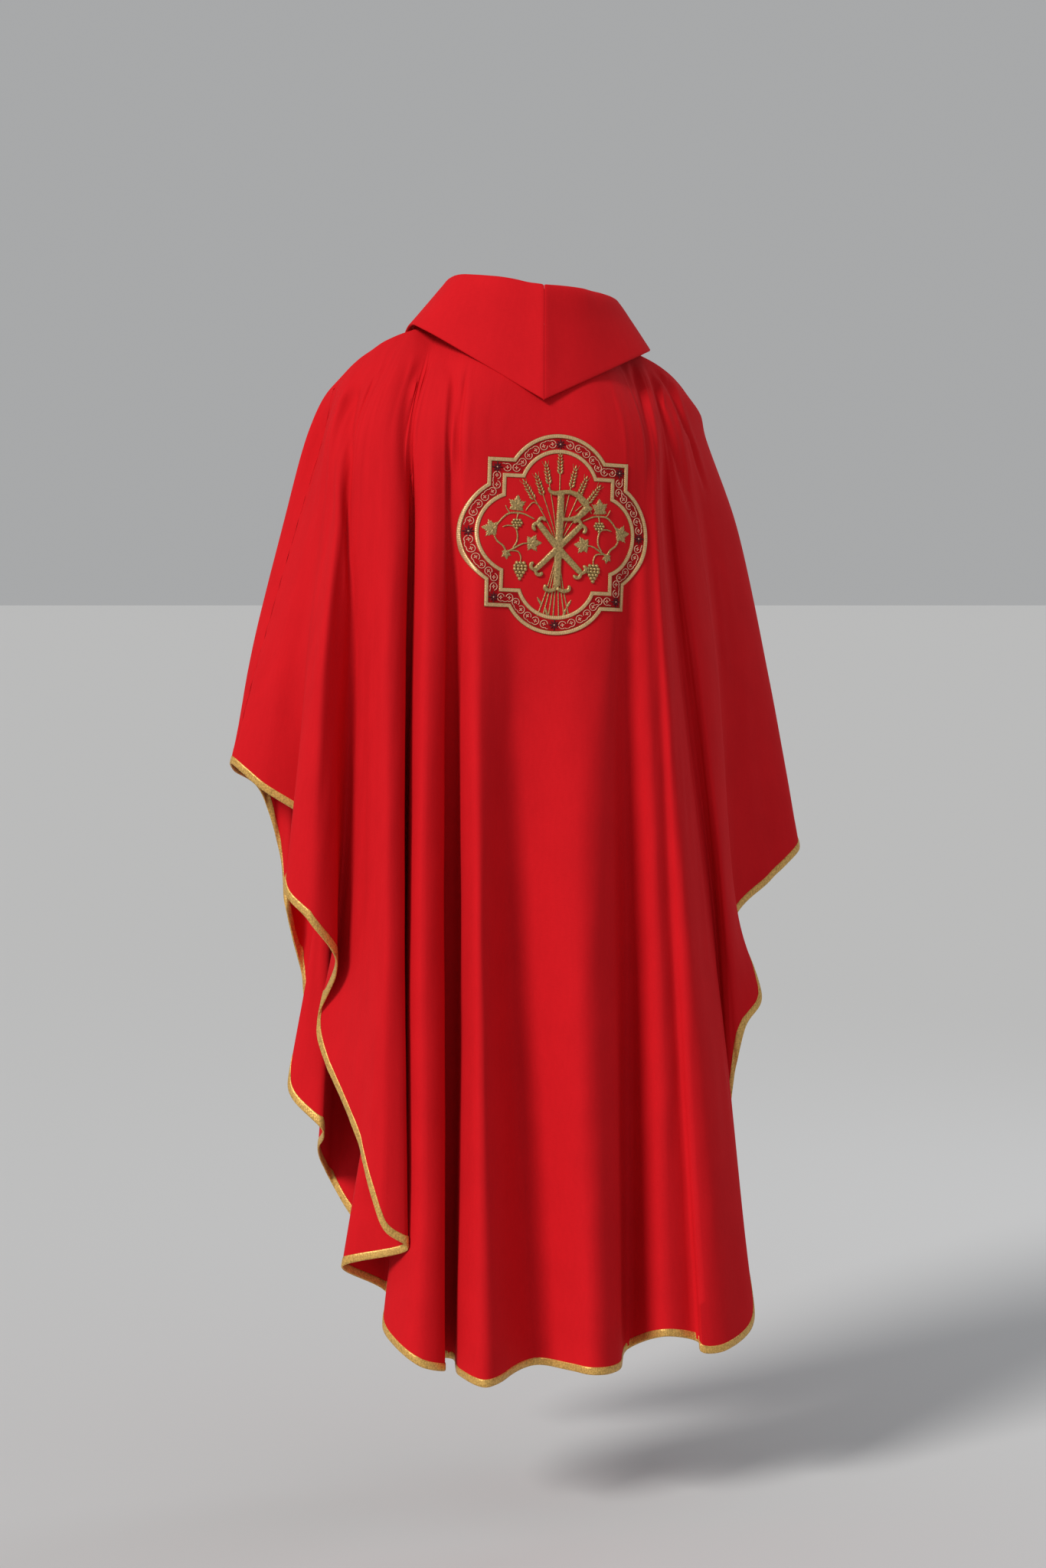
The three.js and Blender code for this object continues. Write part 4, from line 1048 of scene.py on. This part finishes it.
def strip(line, widths, high, low=ON_GROUND, step=0.9, section=7, sharp=0.35):
    """A domed line of satin stitch through a few points, closed and with rounded ends."""
    line = np.array(line, float)
    widths = np.broadcast_to(np.array(widths, float), (len(line),))
    _, long = evenly(line, np.array([0.0, 1.0]))
    count = max(6, int(long / step))
    share = 0.5 - 0.5 * np.cos(np.linspace(0, math.pi, count)) if count < 24 else np.linspace(
        0, 1, count)
    knots = np.linspace(0, 1, 201)
    fine = on_line(line, knots)
    run = np.concatenate([[0], np.cumsum(np.linalg.norm(np.diff(fine, axis=0), axis=1))])
    at = np.interp(share, run / run[-1], knots)
    centre = on_line(line, at)
    wide = np.interp(at, np.linspace(0, 1, len(line)), widths)
    tangent = unit(np.gradient(centre, axis=0))
    side = np.stack([-tangent[:, 1], tangent[:, 0]], axis=-1)
    near_end = np.minimum(share, 1 - share) * long
    blunt = np.clip(near_end / (0.5 * wide + 1e-6), 0.04, 1)
    tip = np.sqrt(1 - (1 - blunt) ** 2)
    rows, maps = [], []
    arc = np.linspace(0, math.pi, section)
    offsets = [(0.5 * math.cos(a), math.sin(a) ** (1 - sharp)) for a in arc]
    for across_share, lift in offsets:
        flat = centre + side * (across_share * wide * tip)[:, None]
        rows.append(np.column_stack([flat, low + high * lift * tip]))
        maps.append(np.column_stack([share * long, (0.5 - across_share) * wide]) * MM)
    rows.append(np.column_stack([centre, np.full(count, low)]))
    maps.append(np.column_stack([share * long, 0.5 * wide]) * MM)
    grid = np.array(rows)
    k, n = grid.shape[:2]
    faces = [(a * n + c, a * n + c + 1, ((a + 1) % k) * n + c + 1, ((a + 1) % k) * n + c)
             for a in range(k) for c in range(n - 1)]
    faces += [tuple(a * n for a in range(k)), tuple(a * n + n - 1 for a in reversed(range(k)))]
    return grid.reshape(-1, 3), faces, np.array(maps).reshape(-1, 2)


def dome(x, y, rx, ry, high, turn=0.0, low=ON_GROUND, around=14, rings=4, point=0.0):
    """A padded oval, pointed at one end if asked."""
    points, faces = [[0, 0, 1.0]], []
    for r in range(1, rings + 1):
        a = 0.5 * math.pi * r / rings
        for i in range(around):
            t = 2 * math.pi * i / around
            pinch = 1 - point * max(0.0, math.sin(t)) ** 2 * math.sin(a)
            points.append([math.sin(a) * math.cos(t) * pinch, math.sin(a) * math.sin(t),
                           math.cos(a)])
    for i in range(around):
        j = (i + 1) % around
        faces.append((0, 1 + i, 1 + j))
        for r in range(rings - 1):
            a, b = 1 + r * around, 1 + (r + 1) * around
            faces.append((a + i, b + i, b + j, a + j))
    last = 1 + (rings - 1) * around
    faces.append(tuple(last + i for i in reversed(range(around))))
    points = np.array(points) * (rx, ry, high) + (0, 0, low)
    return placed_at(points, x, y, turn), faces


def placed_at(points, x, y, turn, size=1.0, flip=1.0):
    """Flat points mirrored, grown, turned by an angle and moved."""
    c, s = math.cos(turn), math.sin(turn)
    px, py = points[:, 0] * size * flip, points[:, 1] * size
    return np.column_stack([px * c - py * s + x, px * s + py * c + y, points[:, 2]])


def quatrefoil(inset, lobe_steps=90, side_steps=22):
    """Barbed quatrefoil, 250 mm across: four lobes over a square. Same count for every inset."""
    reach, lobe, corner = 53.75, 71.875 - inset, 93.125 - inset
    meet = math.sqrt(lobe**2 - (corner - reach) ** 2)
    theta = math.atan2(meet, corner - reach)
    angles = np.linspace(-theta, theta, lobe_steps, endpoint=False)
    arc = np.column_stack([reach + lobe * np.cos(angles), lobe * np.sin(angles)])
    up = np.linspace(meet, corner, side_steps, endpoint=False)
    side = np.column_stack([np.full(side_steps, corner), up])
    back = np.column_stack([np.linspace(corner, meet, side_steps, endpoint=False),
                            np.full(side_steps, corner)])
    quarter = np.vstack([arc, side, back])
    turns = [quarter]
    for _ in range(3):
        x, y = turns[-1].T
        turns.append(np.column_stack([-y, x]))
    return np.vstack(turns)


def inset_at(x, y):
    """How far inside the quatrefoil's outline a flat point lies."""
    lobes = [71.875 - math.hypot(x - a, y - b)
             for a, b in ((53.75, 0), (-53.75, 0), (0, 53.75), (0, -53.75))]
    return max(93.125 - max(abs(x), abs(y)), *lobes)


def ring_band(outer, inner, high, low, section=9):
    """A closed band between two insets of the outline, domed across its width."""
    rows, maps, wide = [], [], inner - outer
    first = quatrefoil(outer)
    along = np.concatenate([[0], np.cumsum(np.linalg.norm(np.diff(first, axis=0), axis=1))])
    for k in range(section):
        a = math.pi * k / (section - 1)
        share = 0.5 - 0.5 * math.cos(a)
        ring = quatrefoil(outer + share * wide)
        rows.append(np.column_stack([ring, np.full(len(ring), low + high * math.sin(a) ** 0.6)]))
        maps.append(np.column_stack([along, np.full(len(ring), share * wide)]) * MM)
    grid = np.array(rows)
    k, n = grid.shape[:2]
    faces = [(a * n + c, ((a + 1) % k) * n + c, ((a + 1) % k) * n + (c + 1) % n,
              a * n + (c + 1) % n) for a in range(k) for c in range(n)]
    return grid.reshape(-1, 3), faces, np.array(maps).reshape(-1, 2)


def plate(inset, low, high, rings=64):
    """The quatrefoil as a thin plate, in rings from its centre."""
    edge = quatrefoil(inset)
    shares = np.concatenate([np.linspace(0.004, 1, rings), [1.0]])
    rows = [np.column_stack([edge * s, np.full(len(edge), high)]) for s in shares[:-1]]
    rows += [np.column_stack([edge * s, np.full(len(edge), low)]) for s in shares[:-1][::-1]]
    grid = np.array(rows)
    k, n = grid.shape[:2]
    faces = [(a * n + c, (a + 1) * n + c, (a + 1) * n + (c + 1) % n, a * n + (c + 1) % n)
             for a in range(k - 1) for c in range(n)]
    faces += [tuple(range(n)), tuple((k - 1) * n + i for i in reversed(range(n)))]
    return grid.reshape(-1, 3), faces


def shapes(made):
    """Splits a list of strips and domes into parts and their flat maps."""
    parts = [(p[0], p[1]) for p in made]
    uvs = [p[2] if len(p) > 2 else flat_uv(p[0]) for p in made]
    return parts, uvs


def copies(shape, places):
    """One small drawing copied to places given as x, y, turn, size and mirror."""
    made = []
    for x, y, turn, size, flip in places:
        for part in shape:
            faces = part[1] if flip > 0 else [tuple(reversed(f)) for f in part[1]]
            made.append((placed_at(part[0], x, y, turn, size, flip), faces, *part[2:]))
    return made


def band_places(inset, pitch):
    """Places along the band's middle, with the way out from the medallion's centre."""
    line = quatrefoil(inset)
    closed = np.vstack([line, line[:1]])
    run = np.concatenate([[0], np.cumsum(np.linalg.norm(np.diff(closed, axis=0), axis=1))])
    count = 4 * round(run[-1] / pitch / 4)
    at = (np.arange(count) + 0.5) * run[-1] / count
    x, y = np.interp(at, run, closed[:, 0]), np.interp(at, run, closed[:, 1])
    ahead = np.interp((at + 1) % run[-1], run, closed[:, 0]), np.interp(
        (at + 1) % run[-1], run, closed[:, 1])
    return x, y, np.arctan2(ahead[1] - y, ahead[0] - x)


def scroll_motif():
    """A round scroll, open on one side where it joins the next, with a small cross inside."""
    turns = np.radians(np.linspace(-120, 170, 13))
    ring = strip(np.column_stack([4.7 * np.cos(turns), 4.7 * np.sin(turns)]), 0.95, 0.7,
                 step=1.2, section=5)
    link = strip([(-2.4, -4.0), (-4.6, -5.0), (-6.6, -4.6)], [0.95, 0.9, 0.7], 0.65, step=1.2,
                 section=5)
    petals = [dome(1.35 * math.cos(a), 1.35 * math.sin(a), 0.62, 1.25, 0.7, a - math.pi / 2,
                   around=8, rings=2) for a in np.radians([0, 90, 180, 270])]
    return [ring, link, *petals]


def star_flower():
    """Eight dark rays, the longer ones pointing up, down and across."""
    return [dome(3.6 * math.cos(a), 3.6 * math.sin(a), 0.95 if k % 2 == 0 else 0.85,
                 3.8 if k % 2 == 0 else 3.0, 0.8, a - math.pi / 2, low=ON_GROUND + 0.5,
                 around=10, rings=3, point=0.6)
            for k, a in enumerate(np.radians(np.arange(0, 360, 45)))]


def leaf_shape():
    """A vine leaf with five pointed lobes, 13 mm long, domed between its veins."""
    count, rings = 96, 5
    t = np.linspace(0, 2 * math.pi, count, endpoint=False)
    radius = np.full(count, 5.0)
    for lean, long, wide in ((0, 9.8, 0.62), (0.95, 8.2, 0.55), (-0.95, 8.2, 0.55),
                             (2.0, 5.6, 0.5), (-2.0, 5.6, 0.5)):
        off = np.abs(np.mod(t - math.pi / 2 - lean + math.pi, 2 * math.pi) - math.pi)
        radius = np.maximum(radius, 4.2 + long * np.exp(-off / wide))
    radius = radius * (1 + 0.09 * np.sin(23 * t) * (radius < 12))
    edge = np.column_stack([radius * np.cos(t), radius * np.sin(t)])
    points, faces = [[0, 0, ON_GROUND + 1.0]], []
    for r in range(1, rings + 1):
        share = r / rings
        veins = 0.35 + 0.65 * np.abs(np.sin(3.1 * (t - math.pi / 2)))
        height = ON_GROUND + (0.35 + 0.85 * veins) * (1 - share**6) + 0.05
        for (x, y), h in zip(edge * share, height):
            points.append([x, y, h])
    for x, y in edge:
        points.append([x, y, ON_GROUND])
    for i in range(count):
        j = (i + 1) % count
        faces.append((0, 1 + i, 1 + j))
        for r in range(rings):
            a, b = 1 + r * count, 1 + (r + 1) * count
            faces.append((a + i, b + i, b + j, a + j))
    last = 1 + rings * count
    faces.append(tuple(last + i for i in reversed(range(count))))
    return [(np.array(points), faces)]


def wheat_ear():
    """An ear of wheat 28 mm long, foot at the origin and pointing up, with its awns."""
    made = []
    for k in range(6):
        y = 2.5 + 4.0 * k
        size = 1.0 - 0.06 * k
        for side in (-1, 1):
            made.append(dome(side * 2.3 * size, y, 1.45 * size, 3.3 * size, 1.7,
                             -side * 0.5, around=10, rings=3, point=0.5))
    made.append(dome(0, 26.0, 1.1, 3.0, 1.2, 0, around=10, rings=3, point=0.5))
    for side in (-1, 1):
        for k in (2, 5):
            y = 2.5 + 4.0 * k
            made.append(strip([(side * 2.6, y + 1), (side * 3.8, y + 4), (side * 4.4, y + 7)],
                              [0.6, 0.5, 0.3], 0.4, step=2.0, section=4))
    return made


WHEAT_EARS = [(0, 76), (-14, 63), (-22, 49), (-33, 43), (15, 60), (25, 49), (38, 42)]
VINE_LEAVES = [(54.5, 33, 0.1, 1.05), (84, 4, -1.45, 1.05), (34.5, -12, 1.5, 1.0),
               (66, -25, 3.0, 0.62)]
VINE_STEMS = [
    ([(31, 18), (45, 24), (52.5, 25), (64, 24), (72, 18), (80, 8)], [1.6, 2.2, 2.4, 2.4, 2.2, 1.8]),
    ([(82, -5), (78, -11), (70, -17), (66, -25)], [1.8, 2.3, 2.5, 2.8]),
    ([(66, -25), (56, -19), (45, -13), (38, -12)], [2.6, 2.3, 2.0, 1.6]),
    ([(72, 7), (64, 9), (56, 7), (52.5, -1), (53, -11), (58, -19)],
     [1.3, 1.8, 2.0, 2.0, 2.0, 1.8]),
    ([(60, -22), (50.6, -23), (47, -29), (47, -38)], [1.8, 1.8, 1.7, 1.4]),
    ([(21, 30), (33, 39), (39, 34), (43, 28)], [1.0, 1.5, 1.5, 1.2]),
    ([(69, 34), (66, 28), (62, 24)], [1.0, 1.4, 1.4]),
    ([(52.5, 25), (53.5, 20), (54.5, 14)], [1.8, 1.6, 1.3]),
]
CHI_RHO_STROKES = [
    ([(-15, 59), (-13, 54), (-7, 51.5), (2, 53), (13, 53.5), (23, 50), (31, 43), (38, 36.5)],
     [2.5, 4.5, 6, 5.5, 6, 7.5, 10, 9]),
    ([(43.5, 33), (38, 34.5), (31, 29), (24, 23), (14, 20), (3, 19.5)], [2, 8, 9.5, 7, 5.5, 4.5]),
    ([(1.5, 53), (1.2, 20), (0.5, -20), (0.5, -66)], [9, 10, 10, 9.5]),
    ([(-14, -62), (-14, -68), (-8, -70), (0, -67)], [4, 5.5, 5.5, 5]),
    ([(16, -62), (16, -68), (9, -70), (0, -67)], [4, 5.5, 5.5, 5]),
    ([(-27, 14), (0, -16.5), (31, -47)], [8, 9.5, 8]),
    ([(29, 13), (0, -16.5), (-28, -45)], [7.5, 8.5, 7.5]),
]
CHI_RHO_ENDS = [((-27, 14), (-1, 1)), ((29, 13), (1, 1)), ((31, -47), (1, -1)),
                ((-28, -45), (-1, -1))]


def curled_end(place, way):
    """The bar across an arm's end, its two tips curling back, as a line of points."""
    ex, ey = place
    dx, dy = (w / math.sqrt(2) for w in way)
    bar = [(8.0, -5.5), (9.0, -1.5), (5.5, 1.8), (0, 0.6), (-5.5, 1.8), (-9.0, -1.5), (-8.0, -5.5)]
    return [(ex - dy * n + dx * d, ey + dx * n + dy * d) for n, d in bar]


def band_insets():
    emblem = bpy.context.scene.chasuble_emblem
    border, band = emblem.border_width / MM, emblem.band_width / MM
    return border, border + 0.5, border + 0.5 + band, 2 * border + 1.0 + band


def make_ground():
    flat, faces = plate(0.7, 0.05, 0.55)
    ground = stitched("medallion_ground", [(flat, faces)], "ground", "red_ground",
                      ["emblem_ground"], angle=50)
    ground.data.materials.append(FINISH["band"])
    _, _, band_end, _ = band_insets()
    for polygon in ground.data.polygons:
        x, y = np.mean([ground.data.uv_layers[0].data[i].uv for i in polygon.loop_indices],
                       axis=0) / MM
        polygon.material_index = int(inset_at(x, y) < band_end)
    cloth = bpy.context.scene.chasuble_cloth.thickness / MM
    stitched("medallion_backing", [plate(2.0, -cloth - 0.9, -cloth - 0.45, rings=40)], "canvas",
             "white_interfacing", ["emblem_backing"], angle=50)


def make_borders():
    border, _, band_end, inner_end = band_insets()
    outer = ring_band(0.0, border, 1.35, ON_GROUND)
    stitched("medallion_border_outer", [outer[:2]], "gold", "gold_thread",
             ["emblem_outer_border"], uvs=[outer[2]])
    inner = ring_band(band_end + 0.5, inner_end, 1.35, ON_GROUND)
    stitched("medallion_border_inner", [inner[:2]], "gold", "gold_thread",
             ["emblem_inner_border"], uvs=[inner[2]])


def make_scrolls():
    _, band_start, band_end, _ = band_insets()
    middle = 0.5 * (band_start + band_end)
    x, y, along = band_places(middle, 11.4)
    lobe, corner = 125 - middle, 93.125 - middle
    flowers = [(lobe, 0), (-lobe, 0), (0, lobe), (0, -lobe), (corner, corner),
               (-corner, corner), (corner, -corner), (-corner, -corner)]
    places = []
    for k, (px, py, turn) in enumerate(zip(x, y, along)):
        if min(math.hypot(px - a, py - b) for a, b in flowers) > 9.5:
            places.append((px, py, turn, 1.0, 1.0 if k % 2 else -1.0))
    parts, uvs = shapes(copies(scroll_motif(), places)
                        + [dome(a, b, 1.2, 1.2, 1.5, around=10, rings=3) for a, b in flowers])
    stitched("medallion_scrolls", parts, "rose_gold", "rose_gold_thread",
             ["emblem_scroll_band"], uvs=uvs)
    names = ["right", "left", "top", "bottom", "upper_right", "upper_left", "lower_right",
             "lower_left"]
    for name, (a, b) in zip(names, flowers):
        parts, uvs = shapes(copies(star_flower(), [(a, b, 0.0, 1.0, 1.0)]))
        stitched(f"star_flower_{name}", parts, "maroon", "maroon_thread", [f"flower_{name}"],
                 uvs=uvs)


def make_monogram():
    pad = bpy.context.scene.chasuble_emblem.pad / MM
    made = [strip(line, widths, pad, low=ON_GROUND + 0.4, section=9, sharp=0.5)
            for line, widths in CHI_RHO_STROKES]
    made += [strip(curled_end(place, way), [4.0, 5.2, 5.0, 4.2, 5.0, 5.2, 4.0], 0.85 * pad,
                   low=ON_GROUND + 0.4, section=9, sharp=0.5) for place, way in CHI_RHO_ENDS]
    parts, _ = shapes(made)
    stitched("monogram", parts, "old_gold", "old_gold_thread", ["chi_rho"], remesh=0.7 * MM,
             angle=80)


def make_wheat():
    knot = (0, -17)
    places, stems = [], []
    for x, y in WHEAT_EARS:
        lean = math.atan2(x, y + 10)
        places.append((x, y, -lean, 1.0, 1.0))
        stems.append(strip([knot, (0.35 * x, 0.4 * y - 8), (x, y + 2)], [1.2, 1.2, 1.4], 0.9,
                           step=2.0, section=5))
    for x in (-22, -15, -8, -2, 5, 12, 18):
        stems.append(strip([knot, (0.45 * x, -62), (x, -103)], [1.3, 1.4, 1.8], 0.9, step=2.0,
                           section=5))
    for x, y, turn in ((-20, -84, 0.55), (17, -86, -0.5), (-11, -96, 0.3), (12, -97, -0.3)):
        stems.append(dome(x, y, 1.6, 6.5, 1.0, turn, around=12, point=0.6))
    stems.append(dome(0, -17, 4.5, 3.2, 1.6))
    parts, uvs = shapes(copies(wheat_ear(), places) + stems)
    stitched("wheat_ears_and_stems", parts, "old_gold", "old_gold_thread", ["wheat_sheaf"],
             uvs=uvs)


def make_vines():
    leaf = leaf_shape()
    for side_name, side in (("left", -1), ("right", 1)):
        places = [(side * x, y, side * turn, size, side) for x, y, turn, size in VINE_LEAVES]
        made = copies(leaf, places)
        for line, widths in VINE_STEMS:
            made.append(strip([(side * x, y) for x, y in line], widths, 1.2, step=1.4, section=6))
        made.append(dome(side * 66, -25, 2.2, 2.2, 1.6, around=12))
        parts, uvs = shapes(made)
        stitched(f"vine_stems_{side_name}", parts, "old_gold", "old_gold_thread",
                 [f"vine_{side_name}"], uvs=uvs)
        for place, x, y, rows, size in (("upper", 53.5, 16, (3, 4, 3, 1), 0.82),
                                        ("lower", 47, -37, (3, 4, 4, 3, 2, 1), 0.98)):
            grape = [dome(0, 0, 2.5, 2.5, 2.4, low=ON_GROUND, around=14)]
            spots = [(side * x + (i - (n - 1) / 2) * 4.6 * size, y - 4.0 * size * row, 0, size, 1)
                     for row, n in enumerate(rows) for i in range(n)]
            parts, uvs = shapes(copies(grape, spots))
            stitched(f"grape_cluster_{place}_{side_name}", parts, "old_gold",
                     "old_gold_thread", [f"grapes_{place}_{side_name}"], uvs=uvs)


# ------------------------------------------------------------------ floor, light and camera
FLOOR_HEIGHT = -1.525
FLOOR_SIZE = 900
LIGHT_AIM = (0, 0, -0.6)
CAMERA_PLACE, CAMERA_AIM = (1.113, 4.153, -0.325), (0, 0, -0.584)


def make_floor():
    bpy.ops.object.select_all(action="DESELECT")
    bpy.ops.mesh.primitive_plane_add(size=FLOOR_SIZE, location=(0, 0, 0))
    floor = bpy.context.object
    floor.name = "floor"
    floor.location.z = FLOOR_HEIGHT
    made, _, shader = new_material("Pale floor")
    shader.inputs["Base Color"].default_value = (0.60, 0.605, 0.61, 1)
    shader.inputs["Roughness"].default_value = 0.9
    shader.inputs["Specular IOR Level"].default_value = 0.1
    floor.data.materials.append(made)


def aimed(light, place):
    light.rotation_mode = "QUATERNION"
    light.rotation_quaternion = (Vector(LIGHT_AIM) - Vector(place)).to_track_quat("-Z", "Y")


def add_lamp(name, kind, place, power, colour, **values):
    bpy.ops.object.select_all(action="DESELECT")
    bpy.ops.object.light_add(type=kind, location=place)
    lamp = bpy.context.object
    lamp.name = name
    lamp.data.energy, lamp.data.color = power, colour
    for key, value in values.items():
        setattr(lamp.data, key, value)
    aimed(lamp, place)


def make_lights():
    add_lamp("key", "SUN", (4.4, 2.9, 2.9), 2.5, (1.0, 0.975, 0.94), angle=math.radians(16))
    add_lamp("rim", "AREA", (-2.9, -1.6, 0.9), 14, (0.88, 0.93, 1.0), size=1.0)
    world = bpy.data.worlds.new("Pale room")
    bpy.context.scene.world = world
    world.use_nodes = True
    back = world.node_tree.nodes["Background"]
    back.inputs["Color"].default_value = (0.93, 0.94, 0.95, 1)
    back.inputs["Strength"].default_value = 0.42


def make_camera():
    bpy.ops.object.select_all(action="DESELECT")
    place, aim = Vector(CAMERA_PLACE), Vector(CAMERA_AIM)
    bpy.ops.object.camera_add(location=place)
    camera = bpy.context.object
    camera.name = "camera"
    camera.rotation_mode = "QUATERNION"
    camera.rotation_quaternion = (aim - place).to_track_quat("-Z", "Y")
    camera.data.lens, camera.data.sensor_width = 75.6, 36
    camera.data.shift_x = 0.0034
    camera.data.clip_start, camera.data.clip_end = 0.05, 200
    bpy.context.scene.camera = camera


# ------------------------------------------------------------------ operators
class CHASUBLE_OT_finishes(bpy.types.Operator):
    """Makes the cloth and thread materials"""

    bl_idname = "chasuble.finishes"
    bl_label = "Finishes"
    bl_options = {"REGISTER", "UNDO"}

    def execute(self, context):
        make_finishes()
        return {"FINISHED"}


class CHASUBLE_OT_panels(bpy.types.Operator):
    """Makes the back and front panels"""

    bl_idname = "chasuble.panels"
    bl_label = "Panels"
    bl_options = {"REGISTER", "UNDO"}

    def execute(self, context):
        make_panel("back", BACK_CUT, BACK_AREA)
        make_panel("front", FRONT_CUT, FRONT_AREA)
        return {"FINISHED"}


class CHASUBLE_OT_braids(bpy.types.Operator):
    """Binds the hems with gold braid"""

    bl_idname = "chasuble.braids"
    bl_label = "Hem braids"
    bl_options = {"REGISTER", "UNDO"}

    def execute(self, context):
        make_braid("back")
        make_braid("front")
        return {"FINISHED"}


class CHASUBLE_OT_facings(bpy.types.Operator):
    """Faces the neck on the inside"""

    bl_idname = "chasuble.facings"
    bl_label = "Neck facings"
    bl_options = {"REGISTER", "UNDO"}

    def execute(self, context):
        make_facing("back")
        make_facing("front")
        return {"FINISHED"}


class CHASUBLE_OT_collar(bpy.types.Operator):
    """Makes the cowl collar's halves, each with its stiffener and under layer"""

    bl_idname = "chasuble.collar"
    bl_label = "Collar"
    bl_options = {"REGISTER", "UNDO"}

    def execute(self, context):
        make_collar("left", COLLAR_LEFT, 1)
        make_collar("right", COLLAR_RIGHT, -1)
        return {"FINISHED"}


class CHASUBLE_OT_ground(bpy.types.Operator):
    """Makes the medallion's ground and its backing"""

    bl_idname = "chasuble.ground"
    bl_label = "Medallion ground"
    bl_options = {"REGISTER", "UNDO"}

    def execute(self, context):
        measure_back()
        make_ground()
        return {"FINISHED"}


class CHASUBLE_OT_borders(bpy.types.Operator):
    """Outlines the medallion with two lines of gold"""

    bl_idname = "chasuble.borders"
    bl_label = "Medallion borders"
    bl_options = {"REGISTER", "UNDO"}

    def execute(self, context):
        make_borders()
        return {"FINISHED"}


class CHASUBLE_OT_scrolls(bpy.types.Operator):
    """Fills the band with scrolls and star flowers"""

    bl_idname = "chasuble.scrolls"
    bl_label = "Scroll band"
    bl_options = {"REGISTER", "UNDO"}

    def execute(self, context):
        make_scrolls()
        return {"FINISHED"}


class CHASUBLE_OT_monogram(bpy.types.Operator):
    """Pads the monogram"""

    bl_idname = "chasuble.monogram"
    bl_label = "Monogram"
    bl_options = {"REGISTER", "UNDO"}

    def execute(self, context):
        make_monogram()
        return {"FINISHED"}


class CHASUBLE_OT_wheat(bpy.types.Operator):
    """Embroiders the sheaf of wheat"""

    bl_idname = "chasuble.wheat"
    bl_label = "Wheat sheaf"
    bl_options = {"REGISTER", "UNDO"}

    def execute(self, context):
        make_wheat()
        return {"FINISHED"}


class CHASUBLE_OT_vines(bpy.types.Operator):
    """Embroiders the vines and their grapes"""

    bl_idname = "chasuble.vines"
    bl_label = "Vines and grapes"
    bl_options = {"REGISTER", "UNDO"}

    def execute(self, context):
        make_vines()
        return {"FINISHED"}


class CHASUBLE_OT_stage(bpy.types.Operator):
    """Sets the floor, the lights and the camera"""

    bl_idname = "chasuble.stage"
    bl_label = "Stage"
    bl_options = {"REGISTER", "UNDO"}

    def execute(self, context):
        make_floor()
        make_lights()
        make_camera()
        bpy.context.scene.view_settings.view_transform = "Standard"
        return {"FINISHED"}


class CHASUBLE_PT_panel(bpy.types.Panel):
    """Lists the steps that build the chasuble"""

    bl_idname = "CHASUBLE_PT_panel"
    bl_label = "Chasuble"
    bl_space_type = "VIEW_3D"
    bl_region_type = "UI"
    bl_category = "Chasuble"

    def draw(self, context):
        for settings in ("chasuble_cloth", "chasuble_emblem", "chasuble_colours"):
            box = self.layout.box()
            values = getattr(context.scene, settings)
            for name in values.__annotations__:
                box.prop(values, name)
        for step in STEPS:
            self.layout.operator(step.bl_idname)


STEPS = (CHASUBLE_OT_finishes, CHASUBLE_OT_panels, CHASUBLE_OT_braids, CHASUBLE_OT_facings,
         CHASUBLE_OT_collar, CHASUBLE_OT_ground, CHASUBLE_OT_borders, CHASUBLE_OT_scrolls,
         CHASUBLE_OT_monogram, CHASUBLE_OT_wheat, CHASUBLE_OT_vines, CHASUBLE_OT_stage)
CLASSES = (ClothSizes, EmblemSizes, ThreadColours, *STEPS, CHASUBLE_PT_panel)


def register():
    for cls in CLASSES:
        bpy.utils.register_class(cls)
    bpy.types.Scene.chasuble_cloth = PointerProperty(type=ClothSizes)
    bpy.types.Scene.chasuble_emblem = PointerProperty(type=EmblemSizes)
    bpy.types.Scene.chasuble_colours = PointerProperty(type=ThreadColours)


def unregister():
    del bpy.types.Scene.chasuble_cloth, bpy.types.Scene.chasuble_emblem
    del bpy.types.Scene.chasuble_colours
    for cls in reversed(CLASSES):
        bpy.utils.unregister_class(cls)


def main():
    register()
    bpy.ops.chasuble.finishes()
    bpy.ops.chasuble.panels()
    bpy.ops.chasuble.braids()
    bpy.ops.chasuble.facings()
    bpy.ops.chasuble.collar()
    bpy.ops.chasuble.ground()
    bpy.ops.chasuble.borders()
    bpy.ops.chasuble.scrolls()
    bpy.ops.chasuble.monogram()
    bpy.ops.chasuble.wheat()
    bpy.ops.chasuble.vines()
    bpy.ops.chasuble.stage()


if __name__ == "__main__":
    main()
